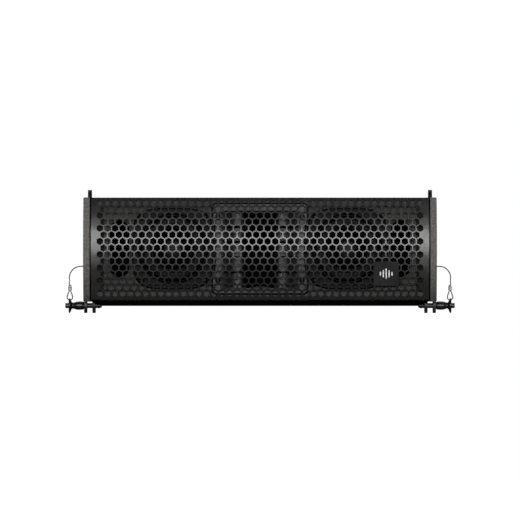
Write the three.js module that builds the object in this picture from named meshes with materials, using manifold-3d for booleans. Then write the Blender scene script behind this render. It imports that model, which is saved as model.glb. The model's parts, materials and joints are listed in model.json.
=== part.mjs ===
// Compact line array loudspeaker element: two 4 inch woofers on either side of a narrow horn, in a
// wedge-shaped plywood box with three-point rigging and quick-release pins.
//
// Millimetres, +Z up. The front faces -Y, +X is the listener's right-hand side of the speaker, and
// "left" and "right" in the names are the sides that a listener in front sees.
import * as THREE from "three";
import { mergeVertices } from "three/addons/utils/BufferGeometryUtils.js";
import Module from "manifold-3d";

const wasm = await Module();
wasm.setup();

// ---------------------------------------------------------------- driving dimensions
// "Depth" is the distance behind the frontmost edge of the cheeks.
const OVERALL_DEPTH = 240;
const FRONT_Y = -OVERALL_DEPTH / 2;

const CABINET_HALF_WIDTH = 220;
const CABINET_DEPTH = 218;
const CABINET_BOTTOM = 13.7;
const CABINET_TOP = 143.7;
const MID_Z = (CABINET_BOTTOM + CABINET_TOP) / 2;
const TAPER = THREE.MathUtils.degToRad(5); // of the top and of the bottom
const PLY = 15;
const INNER_HALF_WIDTH = CABINET_HALF_WIDTH - PLY;
const GLUE_GAP = 0.1;
const FACE_RADIUS = 160; // the cheeks and the grille bulge forward on this radius
const LIP_THICKNESS = 8; // the cheek's front edge, which stands beside the grille
const PANEL_FRONT = 16; // depth at which the top and bottom panels start
const BAFFLE_FRONT = 16;
const BRACE = { inner: 46, thickness: 9, windowDepths: [78, 160], windowWidth: 62, windowHeight: 56 };

const GRILLE = { halfWidth: 210.3, bottom: 16.4, top: 142.8, sheet: 1.2, setBack: 0.6 };
const BADGE = { x: 156.9, z: 48.5, width: 31.3, height: 30.6, thickness: 1 };

// Woofer: radii, and depths behind the front, on its own axis.
const DRIVER_Z = MID_Z + 1;
const WOOFER_X = 108.3;
const BASKET = {
  frame: 49.8,
  screw: 39.4,
  screwHole: 2.2,
  throat: 46,
  flangeFront: 13,
  flangeBack: 15.9,
  seatFront: 14.6,
  seatBack: 17.4,
  seat: 37,
  waist: 34,
  motorSeat: 37,
  motorSeatFront: 52,
  back: 60,
  backOpening: 18,
  sheet: 1.5,
};
const SURROUND = { outer: 40.5, inner: 27.5, level: 13.6, roll: 4.6, flange: 1.4, sheet: 0.6 };
const CONE = { edge: 28.7, front: 15.6, bend: 20, bendDepth: 24, neckDepth: 31, sheet: 0.8 };
const SPIDER = { outer: 35.5, level: 43.4, wave: 1.2, waves: 3, sheet: 0.6 };
const COIL = { inner: 12.3, outer: 13, front: 29.5, back: 68 };
const MOTOR = {
  plate: 6,
  magnet: 16,
  magnetRadius: 40,
  magnetBore: 22,
  yoke: 6,
  poleRadius: 11.7,
  gapRadius: 13.7,
  vent: 2.6,
};

const PORT = { x: 174.9, width: 22.8, height: 70, wall: 2, length: 92, proud: 0.4 };

const HORN = {
  width: 117.8,
  height: 111.7,
  corner: 5,
  plate: 3.4,
  depth: 56,
  relief: 53.2, // half size of the bulging outlines that clear the woofer frames
  screwX: 52.3,
  screwZ: 39.4,
  screwHole: 2.4,
};
const MOUTH = { halfWidth: 38, halfHeight: 44 };
const SLOT = { halfWidth: 7, halfHeight: 39 };
const HORN_WALL = 2;
const SHAPER = { from: 72.4, to: 104, exitHalf: 12.7, flange: 30 };
const HF_DRIVER = { from: 104.4, to: 138, radius: 35, coverRadius: 31, coverTo: 154 };

const CROSSOVER = { x: -112, z: MID_Z, width: 104, height: 58, front: 196, thickness: 1.6 };
const INDUCTOR = { x: -138, inner: 9, outer: 19, height: 18 };
const CAPACITOR = { from: -114, to: -76, radius: 8, above: 12 };
const INPUT = { x: 112, z: MID_Z, width: 104, height: 56, plate: 2 };
const SOCKET = { spacing: 46, flange: 26, bore: 10.6, core: 5.4, shell: 12.4, reach: 24 };

// Rigging: three steel links lock to the next element with pins that lie along X.
const PIN_RADIUS = 3.175;
const PIN_HOLE_RADIUS = 3.4;
const LOBE_RADIUS = 9.3;
const FRONT_PIN = { x: 212.2, y: FRONT_Y + 38, z: LOBE_RADIUS };
const TAB_HOLE_Z = 144.4;
const LINK = { inner: 209.8, outer: 214.6, bottom: 21, relief: 0.2 };
const RIG_PLATE = { inner: 215.45, outer: 219.4, bottom: 30, top: 118, front: 24, back: 66 };
const INNER_EAR = { inner: 205, outer: 209 };
const RIG_BAR = { thickness: 5, gap: 0.3, back: 57, middleBack: 42, middleHalf: 60, window: 10.5 };
const RIG_BAR_LIP = { front: 14.3, back: 15.6, top: 15.8 }; // covers the edge of the bottom panel
const RIG_BAR_NOTCH = { from: 197.5, top: 13.1 }; // clears the pin's end, under the lip
const REAR_PIN = { x: 0, y: FRONT_Y + 230.9, z: 38 };
const ARM_PIVOT_Z = 118;
const ARM = { thickness: 4.8, lobe: 8 };
const SPLAY_ANGLES = [10, 7.5, 5, 2.5, 0];
const BRACKET = { plate: 3, halfWidth: 32, gapHalf: 3.2, cheek: 4, cheekRadius: 7.5, bottom: 32, top: 125.4 };

// Quick-release pin: distances along it from the middle of the joint that it locks.
const PIN = { tip: -14.9, handleEnd: 7.5, waist: 20.9, flangeIn: 23.6, flangeOut: 26.5, button: 30.8 };
const PIN_FLANGE_RADIUS = 9.1;
const PIN_BORE = { radius: 1.7, end: PIN.tip + 3.6, buttonRadius: 3.5, buttonDepth: 4.2 };
const BUTTON = { radius: 3.25, stem: 1.45, travel: 3 };

const WIRE_RADIUS = 0.75;
const WIRE_STEPS = 30;
const LANYARD_HOLE = { radius: 1.5, above: 7.2 };
const STOP = { radius: 2.2, from: -2, to: 2.9 };
const FERRULE = { x: 24.9, low: 18.9, high: 24.2, spacing: 1.6, wall: 0.4, clearance: 0.25 };
const FRONT_EXIT = { out: 14.5, up: 49.3 }; // from the front pin's axis, rearwards and upwards
const REAR_EXIT = { x: 18, z: REAR_PIN.z + 38 };
const LOOM_RADIUS = 2.5;

// ---------------------------------------------------------------- materials
const finish = (color, roughness, metalness = 0) =>
  new THREE.MeshStandardMaterial({ color, roughness, metalness });

const MATERIALS = {
  paint: finish(0x33312f, 0.85),
  plywood: finish(0xb08a58, 0.8),
  grille: finish(0x141414, 0.4, 0.6),
  badge: finish(0x0c0c0c, 0.35),
  blackSteel: finish(0x17171a, 0.45, 0.7),
  basket: finish(0x1b1b1c, 0.5, 0.5),
  paper: finish(0x151515, 0.9),
  rubber: finish(0x101010, 0.8),
  cloth: finish(0xa9772f, 0.9),
  kapton: finish(0x8a4f1c, 0.5),
  ferrite: finish(0x2a2a2c, 0.7),
  zinc: finish(0xb5b8bb, 0.35, 0.9),
  plastic: finish(0x161616, 0.55),
  aluminium: finish(0xa6a8aa, 0.35, 0.9),
  board: finish(0x1f5a38, 0.6),
  copper: finish(0xb56a35, 0.35, 0.9),
  film: finish(0xc8a21e, 0.5),
  wire: finish(0x8c8e90, 0.4, 0.9),
};

// ---------------------------------------------------------------- shape helpers
const depth = (distance) => FRONT_Y + distance;
const sagitta = (half) => FACE_RADIUS - Math.sqrt(FACE_RADIUS ** 2 - half ** 2);
const CORNER_DEPTH = sagitta((CABINET_TOP - CABINET_BOTTOM) / 2);
const topZ = (d) => CABINET_TOP - (d - CORNER_DEPTH) * Math.tan(TAPER);
const bottomZ = (d) => CABINET_BOTTOM + (d - CORNER_DEPTH) * Math.tan(TAPER);

const X = new THREE.Vector3(1, 0, 0);
const Y = new THREE.Vector3(0, 1, 0);
const Z = new THREE.Vector3(0, 0, 1);
const MINUS_X = new THREE.Vector3(-1, 0, 0);
const MINUS_Y = new THREE.Vector3(0, -1, 0);
const MINUS_Z = new THREE.Vector3(0, 0, -1);

function solid(geometry) {
  const plain = geometry.clone();
  plain.deleteAttribute("normal");
  plain.deleteAttribute("uv");
  const merged = mergeVertices(plain, 1e-4);
  return new wasm.Manifold(
    new wasm.Mesh({
      numProp: 3,
      vertProperties: new Float32Array(merged.attributes.position.array),
      triVerts: new Uint32Array(merged.index.array),
    }),
  );
}

function geometryOf(manifold) {
  const mesh = manifold.getMesh();
  const geometry = new THREE.BufferGeometry();
  geometry.setAttribute("position", new THREE.BufferAttribute(mesh.vertProperties, 3));
  geometry.setIndex(new THREE.BufferAttribute(mesh.triVerts, 1));
  geometry.computeVertexNormals();
  return geometry;
}

const join = (first, ...others) => others.reduce((sum, other) => sum.add(other), first);
const cut = (first, ...others) => others.reduce((rest, other) => rest.subtract(other), first);

function turned(geometry, xAxis, yAxis, zAxis, position) {
  const matrix = new THREE.Matrix4().makeBasis(xAxis, yAxis, zAxis);
  matrix.setPosition(...position);
  return geometry.applyMatrix4(matrix);
}

// A box from its lowest to its highest corner.
function box(low, high) {
  const size = high.map((value, i) => value - low[i]);
  const middle = high.map((value, i) => (value + low[i]) / 2);
  return solid(new THREE.BoxGeometry(...size).translate(...middle));
}

// A shape drawn in (y, z), given thickness from x0 to x1.
function sideways(shape, x0, x1, curveSegments = 6) {
  const made = new THREE.ExtrudeGeometry(shape, { depth: x1 - x0, bevelEnabled: false, curveSegments });
  return solid(turned(made, Y, Z, X, [x0, 0, 0]));
}

// A shape drawn in (x, z), given thickness from depth d0 to depth d1.
function frontal(shape, d0, d1, curveSegments = 3) {
  const made = new THREE.ExtrudeGeometry(shape, { depth: d1 - d0, bevelEnabled: false, curveSegments });
  return solid(turned(made, X, Z, MINUS_Y, [0, depth(d1), 0]));
}

// A closed profile of [radius, distance] pairs turned about an axis.
function lathed(profile, segments, place) {
  const points = profile.map(([radius, along]) => new THREE.Vector2(radius, along));
  if (THREE.ShapeUtils.area(points) < 0) points.reverse();
  return solid(place(new THREE.LatheGeometry(points, segments)));
}

// Places for lathed: the axis runs rearwards from the speaker's front, or along +X from a point.
const alongY = (x, z) => (geometry) => turned(geometry, Z, Y, MINUS_X, [x, FRONT_Y, z]);
const alongX = (x, y, z) => (geometry) => turned(geometry, Y, X, MINUS_Z, [x, y, z]);

const ring = (inner, outer, from, to) => [
  [inner, from],
  [outer, from],
  [outer, to],
  [inner, to],
  [inner, from],
];
const rod = (radius, from, to) => [
  [0, from],
  [radius, from],
  [radius, to],
  [0, to],
];

function withHole(shape, x, y, radius) {
  const hole = new THREE.Path();
  hole.absarc(x, y, radius, 0, Math.PI * 2, true);
  shape.holes.push(hole);
  return shape;
}

function roundedRectangle(x, y, width, height, radius) {
  const shape = new THREE.Shape();
  const [left, right] = [x - width / 2 + radius, x + width / 2 - radius];
  const [low, high] = [y - height / 2 + radius, y + height / 2 - radius];
  shape.absarc(right, low, radius, -Math.PI / 2, 0, false);
  shape.absarc(right, high, radius, 0, Math.PI / 2, false);
  shape.absarc(left, high, radius, Math.PI / 2, Math.PI, false);
  shape.absarc(left, low, radius, Math.PI, Math.PI * 1.5, false);
  shape.closePath();
  return shape;
}

// A bar with a round end at the top and the bottom, drawn in (y, z).
function barOutline(y, low, high, radius) {
  const shape = new THREE.Shape();
  shape.absarc(y, high - radius, radius, 0, Math.PI, false);
  shape.absarc(y, low + radius, radius, Math.PI, Math.PI * 2, false);
  shape.closePath();
  return shape;
}

const polygon = (points) => new THREE.Shape(points.map(([x, y]) => new THREE.Vector2(x, y)));

const circlePoints = (x, y, radius, count) =>
  Array.from({ length: count }, (_, i) => {
    const angle = (i * 2 * Math.PI) / count;
    return new THREE.Vector2(x + radius * Math.cos(angle), y + radius * Math.sin(angle));
  });

// The outline of a woofer frame: four bulging sides and round corners.
function bulgedSquare(x, y, half) {
  const steps = 40;
  const directions = Array.from({ length: steps }, (_, i) => (i * 2 * Math.PI) / steps);
  return polygon(
    directions.map((angle) => {
      const [across, up] = [Math.cos(angle), Math.sin(angle)];
      const reach = half / (across ** 4 + up ** 4) ** 0.25;
      return [x + reach * across, y + reach * up];
    }),
  );
}

// A round rod along a smooth curve through the points.
function tube(points, radius, steps, sides = 8) {
  const path = new THREE.CatmullRomCurve3(points.map((point) => new THREE.Vector3(...point)));
  const corners = Array.from({ length: sides }, (_, i) => (i * 2 * Math.PI) / sides);
  const section = polygon(corners.map((angle) => [radius * Math.cos(angle), radius * Math.sin(angle)]));
  return solid(new THREE.ExtrudeGeometry(section, { steps, extrudePath: path }));
}

// The same span on either side of the middle, lowest value first.
const spanOn = (side, inner, outer) => [side * inner, side * outer].sort((a, b) => a - b);

function piece(name, made, material, parent) {
  const mesh = new THREE.Mesh(geometryOf(made), material);
  mesh.name = name;
  parent.add(mesh);
}

// ---------------------------------------------------------------- enclosure
// The cheek's outline in (y, z): straight top, bottom and back, and a bulging front edge.
function cheekOutline() {
  const halfAngle = Math.asin((CABINET_TOP - CABINET_BOTTOM) / 2 / FACE_RADIUS);
  const shape = new THREE.Shape();
  shape.moveTo(depth(CABINET_DEPTH), bottomZ(CABINET_DEPTH));
  shape.lineTo(depth(CABINET_DEPTH), topZ(CABINET_DEPTH));
  shape.absarc(depth(FACE_RADIUS), MID_Z, FACE_RADIUS, Math.PI - halfAngle, Math.PI + halfAngle, false);
  shape.closePath();
  return shape;
}

function sidePanel() {
  const outside = CABINET_HALF_WIDTH + 1;
  const above = CABINET_TOP + 1;
  const rebate = box(
    [INNER_HALF_WIDTH - 1, depth(-1), 0],
    [CABINET_HALF_WIDTH - LIP_THICKNESS, depth(BAFFLE_FRONT), above],
  );
  // slot for the link and the outer ear, open at the top and the bottom
  const slotHalf = LOBE_RADIUS + 1;
  const slot = box([INNER_EAR.outer, FRONT_PIN.y - slotHalf, 0], [outside, FRONT_PIN.y + slotHalf, above]);
  const pocket = box(
    [RIG_PLATE.inner - 0.4, depth(RIG_PLATE.front - 1), RIG_PLATE.bottom - 1],
    [outside, depth(RIG_PLATE.back + 1), RIG_PLATE.top + 1],
  );
  const stopHole = lathed(
    rod(STOP.radius + 0.6, STOP.from - 1, STOP.to + 2),
    10,
    alongX(FRONT_PIN.x, FRONT_PIN.y + FRONT_EXIT.out, FRONT_PIN.z + FRONT_EXIT.up),
  );
  return cut(
    sideways(cheekOutline(), INNER_HALF_WIDTH, CABINET_HALF_WIDTH, 12),
    rebate,
    slot,
    pocket,
    stopHole,
  );
}

// The top or bottom panel: it lies between the side panels and follows the cabinet's slope.
function slopedPanel(edge, inward) {
  const outline = polygon([
    [depth(PANEL_FRONT), edge(PANEL_FRONT)],
    [depth(CABINET_DEPTH), edge(CABINET_DEPTH)],
    [depth(CABINET_DEPTH), edge(CABINET_DEPTH) + inward * PLY],
    [depth(PANEL_FRONT), edge(PANEL_FRONT) + inward * PLY],
  ]);
  return sideways(outline, -INNER_HALF_WIDTH + GLUE_GAP, INNER_HALF_WIDTH - GLUE_GAP);
}

// What stands between the top and bottom panels from depth d0 to d1, drawn in (y, z).
function crossOutline(d0, d1) {
  return polygon([
    [depth(d0), bottomZ(d0) + PLY + GLUE_GAP],
    [depth(d1), bottomZ(d1) + PLY + GLUE_GAP],
    [depth(d1), topZ(d1) - PLY - GLUE_GAP],
    [depth(d0), topZ(d0) - PLY - GLUE_GAP],
  ]);
}

const crossPanel = (d0, d1) =>
  sideways(crossOutline(d0, d1), -INNER_HALF_WIDTH + GLUE_GAP, INNER_HALF_WIDTH - GLUE_GAP);

const portOutline = (side, grow) =>
  roundedRectangle(
    side * PORT.x,
    DRIVER_Z,
    PORT.width + 2 * grow,
    PORT.height + 2 * grow,
    PORT.width / 2 + grow,
  );

function baffle() {
  const [front, back] = [BAFFLE_FRONT, BAFFLE_FRONT + PLY];
  const hornHole = roundedRectangle(
    0,
    DRIVER_Z,
    2 * (MOUTH.halfWidth + HORN_WALL) + 1,
    2 * (MOUTH.halfHeight + HORN_WALL) + 1,
    3,
  );
  let made = cut(crossPanel(front, back), frontal(hornHole, front - 1, back + 1));
  for (const side of [-1, 1]) {
    made = cut(
      made,
      lathed(rod(BASKET.throat + 0.6, front - 1, back + 1), 24, alongY(side * WOOFER_X, DRIVER_Z)),
      frontal(portOutline(side, PORT.wall + 0.4), front - 1, back + 1, 4),
    );
  }
  return made;
}

function rearPanel() {
  const front = CABINET_DEPTH - PLY;
  const inputHole = roundedRectangle(INPUT.x, INPUT.z, INPUT.width - 20, INPUT.height - 14, 3);
  return cut(crossPanel(front, CABINET_DEPTH), frontal(inputHole, front - 1, CABINET_DEPTH + 1));
}

function brace() {
  const margin = PLY + 2 * GLUE_GAP;
  const outline = crossOutline(BAFFLE_FRONT + margin, CABINET_DEPTH - margin);
  for (const middle of BRACE.windowDepths) {
    const window = roundedRectangle(depth(middle), MID_Z, BRACE.windowWidth, BRACE.windowHeight, 10);
    outline.holes.push(new THREE.Path(window.getPoints(3)));
  }
  return sideways(outline, BRACE.inner, BRACE.inner + BRACE.thickness);
}

const GRILLE_MID_Z = (GRILLE.top + GRILLE.bottom) / 2;

function grille() {
  const angle = Math.asin((GRILLE.top - GRILLE.bottom) / 2 / FACE_RADIUS);
  const centre = depth(GRILLE.setBack + FACE_RADIUS);
  const shape = new THREE.Shape();
  shape.absarc(centre, GRILLE_MID_Z, FACE_RADIUS, Math.PI - angle, Math.PI + angle, false);
  shape.absarc(centre, GRILLE_MID_Z, FACE_RADIUS - GRILLE.sheet, Math.PI + angle, Math.PI - angle, true);
  shape.closePath();
  return sideways(shape, -GRILLE.halfWidth, GRILLE.halfWidth, 12);
}

// A flat plate that leans with the grille where it sits, touching it along its middle.
function badge() {
  const below = GRILLE_MID_Z - BADGE.z;
  const outline = roundedRectangle(0, 0, BADGE.width, BADGE.height, 1.5);
  const made = new THREE.ExtrudeGeometry(outline, {
    depth: BADGE.thickness,
    bevelEnabled: false,
    curveSegments: 3,
  });
  turned(made, X, Z, MINUS_Y, [0, 0, 0]);
  made.rotateX(Math.asin(below / FACE_RADIUS));
  return solid(made.translate(BADGE.x, depth(GRILLE.setBack + sagitta(below) - 0.3), BADGE.z));
}

// ---------------------------------------------------------------- woofer
// A woofer's pieces are turned about the line x = 0, z = 0 and set in place by its group.
const turnedWoofer = (profile, segments = 14) => lathed(profile, segments, alongY(0, 0));

function basket() {
  const { frame, throat, flangeFront, flangeBack, seatFront, seatBack, seat, back, sheet } = BASKET;
  const { waist, motorSeat, motorSeatFront, backOpening, screw, screwHole } = BASKET;
  const lip = SURROUND.outer + 0.6;
  const inside = throat - sheet - 1.9;
  const motorInside = motorSeat - 4;
  const spiderShelf = SPIDER.level + SPIDER.wave + SPIDER.sheet + 0.2;
  const body = turnedWoofer(
    [
      [seat, seatFront],
      [lip, seatFront],
      [lip, flangeFront],
      [throat + 1, flangeFront],
      [throat + 1, flangeBack],
      [throat, flangeBack],
      [throat - 1, waist],
      [motorSeat + sheet, motorSeatFront],
      [motorSeat + sheet, back],
      [backOpening, back],
      [backOpening, back - 2 * sheet],
      [motorInside, back - 2 * sheet],
      [motorInside, spiderShelf],
      [motorSeat - 0.5, spiderShelf],
      [inside, waist - 1],
      [inside, seatBack],
      [seat, seatBack],
      [seat, seatFront],
    ],
    16,
  );
  const windows = [1, 3, 5, 7].map((eighth) => {
    const opening = new THREE.BoxGeometry(26, 16, 20).translate(0, depth(42), 49);
    return solid(opening.rotateY((eighth * Math.PI) / 4));
  });
  const flange = bulgedSquare(0, 0, frame);
  flange.holes.push(new THREE.Path(circlePoints(0, 0, throat, 16)));
  for (const [x, z] of [[-1, -1], [-1, 1], [1, -1], [1, 1]]) {
    flange.holes.push(new THREE.Path(circlePoints(x * screw, z * screw, screwHole, 8)));
  }
  return cut(join(body, frontal(flange, flangeFront, flangeBack)), ...windows);
}

function surround() {
  const { outer, inner, level, roll, flange, sheet } = SURROUND;
  const ridge = outer - flange;
  const middle = (ridge + inner) / 2;
  const reach = (ridge - inner) / 2;
  const angles = Array.from({ length: 5 }, (_, i) => (Math.PI * i) / 4);
  const arch = (width, height, base) =>
    angles.map((angle) => [middle - width * Math.cos(angle), base - height * Math.sin(angle)]);
  return turnedWoofer(
    [
      [inner - flange, level],
      ...arch(reach, roll, level),
      [outer, level],
      [outer, level + sheet],
      ...arch(reach - sheet, roll - sheet, level + sheet).reverse(),
      [inner - flange, level + sheet],
      [inner - flange, level],
    ],
    16,
  );
}

function cone() {
  const { edge, front, bend, bendDepth, neckDepth, sheet } = CONE;
  const neck = COIL.outer + 0.3;
  const rim = SURROUND.level + SURROUND.sheet + 0.2;
  const mouth = SURROUND.inner - SURROUND.flange;
  return turnedWoofer(
    [
      [neck, neckDepth],
      [bend, bendDepth],
      [mouth - sheet, front],
      [mouth, rim],
      [edge, rim],
      [mouth + 0.4, front + sheet],
      [bend + 0.4, bendDepth + sheet],
      [neck, neckDepth + sheet],
      [neck, neckDepth],
    ],
    16,
  );
}

const dustCap = () =>
  turnedWoofer([
    [0, 21.6],
    [6, 22.2],
    [10.5, 23.9],
    [14.4, 27.2],
    [14.9, 28.1],
    [14.2, 28],
    [10.2, 24.7],
    [5.8, 23],
    [0, 22.4],
  ]);

const voiceCoil = () => turnedWoofer(ring(COIL.inner, COIL.outer, COIL.front, COIL.back));

function spider() {
  const { outer, level, wave, waves, sheet } = SPIDER;
  const inner = COIL.outer + 0.3;
  const folds = waves * 2;
  const front = Array.from({ length: folds + 1 }, (_, i) => [
    inner + ((outer - inner) * i) / folds,
    level + (i % 2 ? -wave : wave),
  ]);
  const back = front.map(([radius, along]) => [radius, along + sheet]).reverse();
  return turnedWoofer([...front, ...back, front[0]]);
}

const PLATE_FROM = BASKET.back + 0.2;
const MAGNET_FROM = PLATE_FROM + MOTOR.plate + 0.2;
const YOKE_FROM = MAGNET_FROM + MOTOR.magnet + 0.2;

const topPlate = () =>
  turnedWoofer(ring(MOTOR.gapRadius, BASKET.motorSeat, PLATE_FROM, PLATE_FROM + MOTOR.plate));

const magnet = () =>
  turnedWoofer(ring(MOTOR.magnetBore, MOTOR.magnetRadius, MAGNET_FROM, MAGNET_FROM + MOTOR.magnet));

// The back plate and the vented pole that stands on it, in one turned piece.
const poleYoke = () =>
  turnedWoofer([
    [MOTOR.vent, PLATE_FROM],
    [MOTOR.poleRadius, PLATE_FROM],
    [MOTOR.poleRadius, YOKE_FROM],
    [BASKET.motorSeat, YOKE_FROM],
    [BASKET.motorSeat, YOKE_FROM + MOTOR.yoke],
    [MOTOR.vent, YOKE_FROM + MOTOR.yoke],
    [MOTOR.vent, PLATE_FROM],
  ]);

// ---------------------------------------------------------------- horn and compression driver
// A rectangle of half sizes (x0, z0) at depth d0 that becomes (x1, z1) at depth d1.
function wedge(d0, x0, z0, d1, x1, z1) {
  const made = new THREE.BoxGeometry(2, 2, 2);
  const corners = made.attributes.position;
  for (let i = 0; i < corners.count; i += 1) {
    const back = corners.getY(i) > 0;
    corners.setXYZ(
      i,
      corners.getX(i) * (back ? x1 : x0),
      depth(back ? d1 : d0),
      DRIVER_Z + corners.getZ(i) * (back ? z1 : z0),
    );
  }
  return solid(made);
}

function hornWaveguide() {
  const [front, back] = [BAFFLE_FRONT - HORN.plate, BAFFLE_FRONT - GLUE_GAP];
  let plate = frontal(roundedRectangle(0, DRIVER_Z, HORN.width, HORN.height, HORN.corner), front, back);
  for (const side of [-1, 1]) {
    // the plate's sides are relieved round the woofer frames
    const relief = bulgedSquare(side * WOOFER_X, DRIVER_Z, HORN.relief);
    plate = cut(plate, frontal(relief, front - 1, back + 1));
    for (const level of [-1, 1]) {
      const screwHole = rod(HORN.screwHole, front - 1, back + 1);
      plate = cut(plate, lathed(screwHole, 8, alongY(side * HORN.screwX, DRIVER_Z + level * HORN.screwZ)));
    }
  }
  const end = back + HORN.depth;
  const outside = (inside) => [inside.halfWidth + HORN_WALL, inside.halfHeight + HORN_WALL];
  const shell = wedge(back - 1, ...outside(MOUTH), end, ...outside(SLOT));
  const passage = wedge(
    front - 1,
    MOUTH.halfWidth,
    MOUTH.halfHeight,
    end + 1,
    SLOT.halfWidth,
    SLOT.halfHeight,
  );
  return cut(join(plate, shell), passage);
}

// It turns the driver's round exit into the horn's narrow slot.
function waveShaper() {
  const { from, to, exitHalf, flange } = SHAPER;
  const outside = exitHalf + 8;
  const shell = wedge(from, SLOT.halfWidth + 8, SLOT.halfHeight + HORN_WALL, to, outside, outside);
  const rim = lathed(rod(flange, to - 5, to), 20, alongY(0, DRIVER_Z));
  const exit = exitHalf * 0.8;
  const passage = wedge(from - 1, SLOT.halfWidth, SLOT.halfHeight, to + 1, exit, exit);
  return cut(join(shell, rim), passage);
}

const compressionDriver = () =>
  lathed(
    [
      [SHAPER.exitHalf, HF_DRIVER.from],
      [HF_DRIVER.radius, HF_DRIVER.from],
      [HF_DRIVER.radius, HF_DRIVER.to],
      [0, HF_DRIVER.to],
      [0, HF_DRIVER.from + 16],
      [SHAPER.exitHalf * 0.8, HF_DRIVER.from + 12],
      [SHAPER.exitHalf, HF_DRIVER.from],
    ],
    16,
    alongY(0, DRIVER_Z),
  );

const driverCover = () =>
  lathed(
    [
      [0, HF_DRIVER.to + 0.3],
      [HF_DRIVER.coverRadius, HF_DRIVER.to + 0.3],
      [HF_DRIVER.coverRadius, HF_DRIVER.coverTo - 5],
      [HF_DRIVER.coverRadius - 6, HF_DRIVER.coverTo],
      [0, HF_DRIVER.coverTo],
    ],
    16,
    alongY(0, DRIVER_Z),
  );

// ---------------------------------------------------------------- ports
function portDuct(side) {
  const outline = portOutline(side, PORT.wall);
  outline.holes.push(new THREE.Path(portOutline(side, 0).getPoints(4)));
  return frontal(outline, BAFFLE_FRONT - PORT.proud, BAFFLE_FRONT + PORT.length, 4);
}

// ---------------------------------------------------------------- crossover, loom and inputs
const crossoverBoard = () =>
  frontal(
    roundedRectangle(CROSSOVER.x, CROSSOVER.z, CROSSOVER.width, CROSSOVER.height, 2),
    CROSSOVER.front,
    CROSSOVER.front + CROSSOVER.thickness,
  );

const inductor = () => {
  const back = CROSSOVER.front - 0.3;
  const winding = ring(INDUCTOR.inner, INDUCTOR.outer, back - INDUCTOR.height, back);
  return lathed(winding, 18, alongY(INDUCTOR.x, CROSSOVER.z));
};

const capacitor = () => {
  const y = depth(CROSSOVER.front - CAPACITOR.radius - 0.4);
  const can = rod(CAPACITOR.radius, CAPACITOR.from, CAPACITOR.to);
  return lathed(can, 18, alongX(0, y, CROSSOVER.z + CAPACITOR.above));
};

// Loudspeaker leads, tied into one loom: x, depth and height of the points on each branch.
function wiringLoom() {
  const junction = [-58, 178, 104];
  const throughBrace = [62, 168, 92];
  const terminal = WOOFER_X - BASKET.motorSeat - BASKET.sheet - 2.4;
  const branches = [
    [junction, [-63, 186, 100], [-66, CROSSOVER.front - 2, 97]],
    [junction, [-60, 140, 100], [-58, 100, 92], [-60, 62, 82], [-terminal, 56, DRIVER_Z]],
    [junction, [-36, 176, 99], [-14, 168, 92], [-12, HF_DRIVER.coverTo + 1.6, 90]],
    [junction, [-20, 184, 100], [30, 182, 96], throughBrace],
    [throughBrace, [66, 120, 88], [60, 64, 82], [terminal, 56, DRIVER_Z]],
    [throughBrace, [76, 182, 86], [INPUT.x - SOCKET.spacing / 2, CABINET_DEPTH - 24.6, INPUT.z]],
  ];
  const joint = new THREE.SphereGeometry(LOOM_RADIUS + 0.6, 8, 4);
  const joints = [junction, throughBrace].map(([x, d, z]) => solid(joint.clone().translate(x, depth(d), z)));
  const leads = branches.map((points) =>
    tube(points.map(([x, d, z]) => [x, depth(d), z]), LOOM_RADIUS, 2 * points.length - 2, 6),
  );
  return join(...leads, ...joints);
}

const SOCKET_FACE = CABINET_DEPTH + GLUE_GAP + INPUT.plate + 0.2;

function inputPlate() {
  const [front, back] = [CABINET_DEPTH + GLUE_GAP, CABINET_DEPTH + GLUE_GAP + INPUT.plate];
  const outline = roundedRectangle(INPUT.x, INPUT.z, INPUT.width, INPUT.height, 4);
  for (const side of [-1, 1]) {
    withHole(outline, INPUT.x + (side * SOCKET.spacing) / 2, INPUT.z, SOCKET.shell + 0.4);
  }
  return frontal(outline, front, back, 8);
}

// A four-pole locking chassis socket: a flange, a round shell and the core in its middle.
function socket(side) {
  const x = INPUT.x + (side * SOCKET.spacing) / 2;
  const place = alongY(x, INPUT.z);
  const inside = SOCKET_FACE - SOCKET.reach;
  const flange = frontal(
    roundedRectangle(x, INPUT.z, SOCKET.flange, SOCKET.flange + 5, 2),
    SOCKET_FACE,
    SOCKET_FACE + 2,
  );
  const shell = lathed(rod(SOCKET.shell, inside, SOCKET_FACE + 1), 16, place);
  const bore = lathed(rod(SOCKET.bore, inside + 3, SOCKET_FACE + 3), 16, place);
  const core = lathed(rod(SOCKET.core, inside + 1, SOCKET_FACE - 1), 12, place);
  return join(cut(join(flange, shell), bore), core);
}

// ---------------------------------------------------------------- rigging
function frontRigPlate() {
  const { inner, outer, bottom, top, front, back } = RIG_PLATE;
  const ear = barOutline(FRONT_PIN.y, 0, top - 4, LOBE_RADIUS);
  withHole(ear, FRONT_PIN.y, FRONT_PIN.z, PIN_HOLE_RADIUS);
  const middle = (depth(front) + depth(back)) / 2;
  const body = roundedRectangle(middle, (bottom + top) / 2, back - front, top - bottom, 4);
  const wireHole = lathed(
    rod(WIRE_RADIUS + 0.5, inner - 1, outer + 1),
    10,
    alongX(0, FRONT_PIN.y + FRONT_EXIT.out, FRONT_PIN.z + FRONT_EXIT.up),
  );
  return cut(join(sideways(ear, inner, outer), sideways(body, inner, outer, 3)), wireHole);
}

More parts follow.
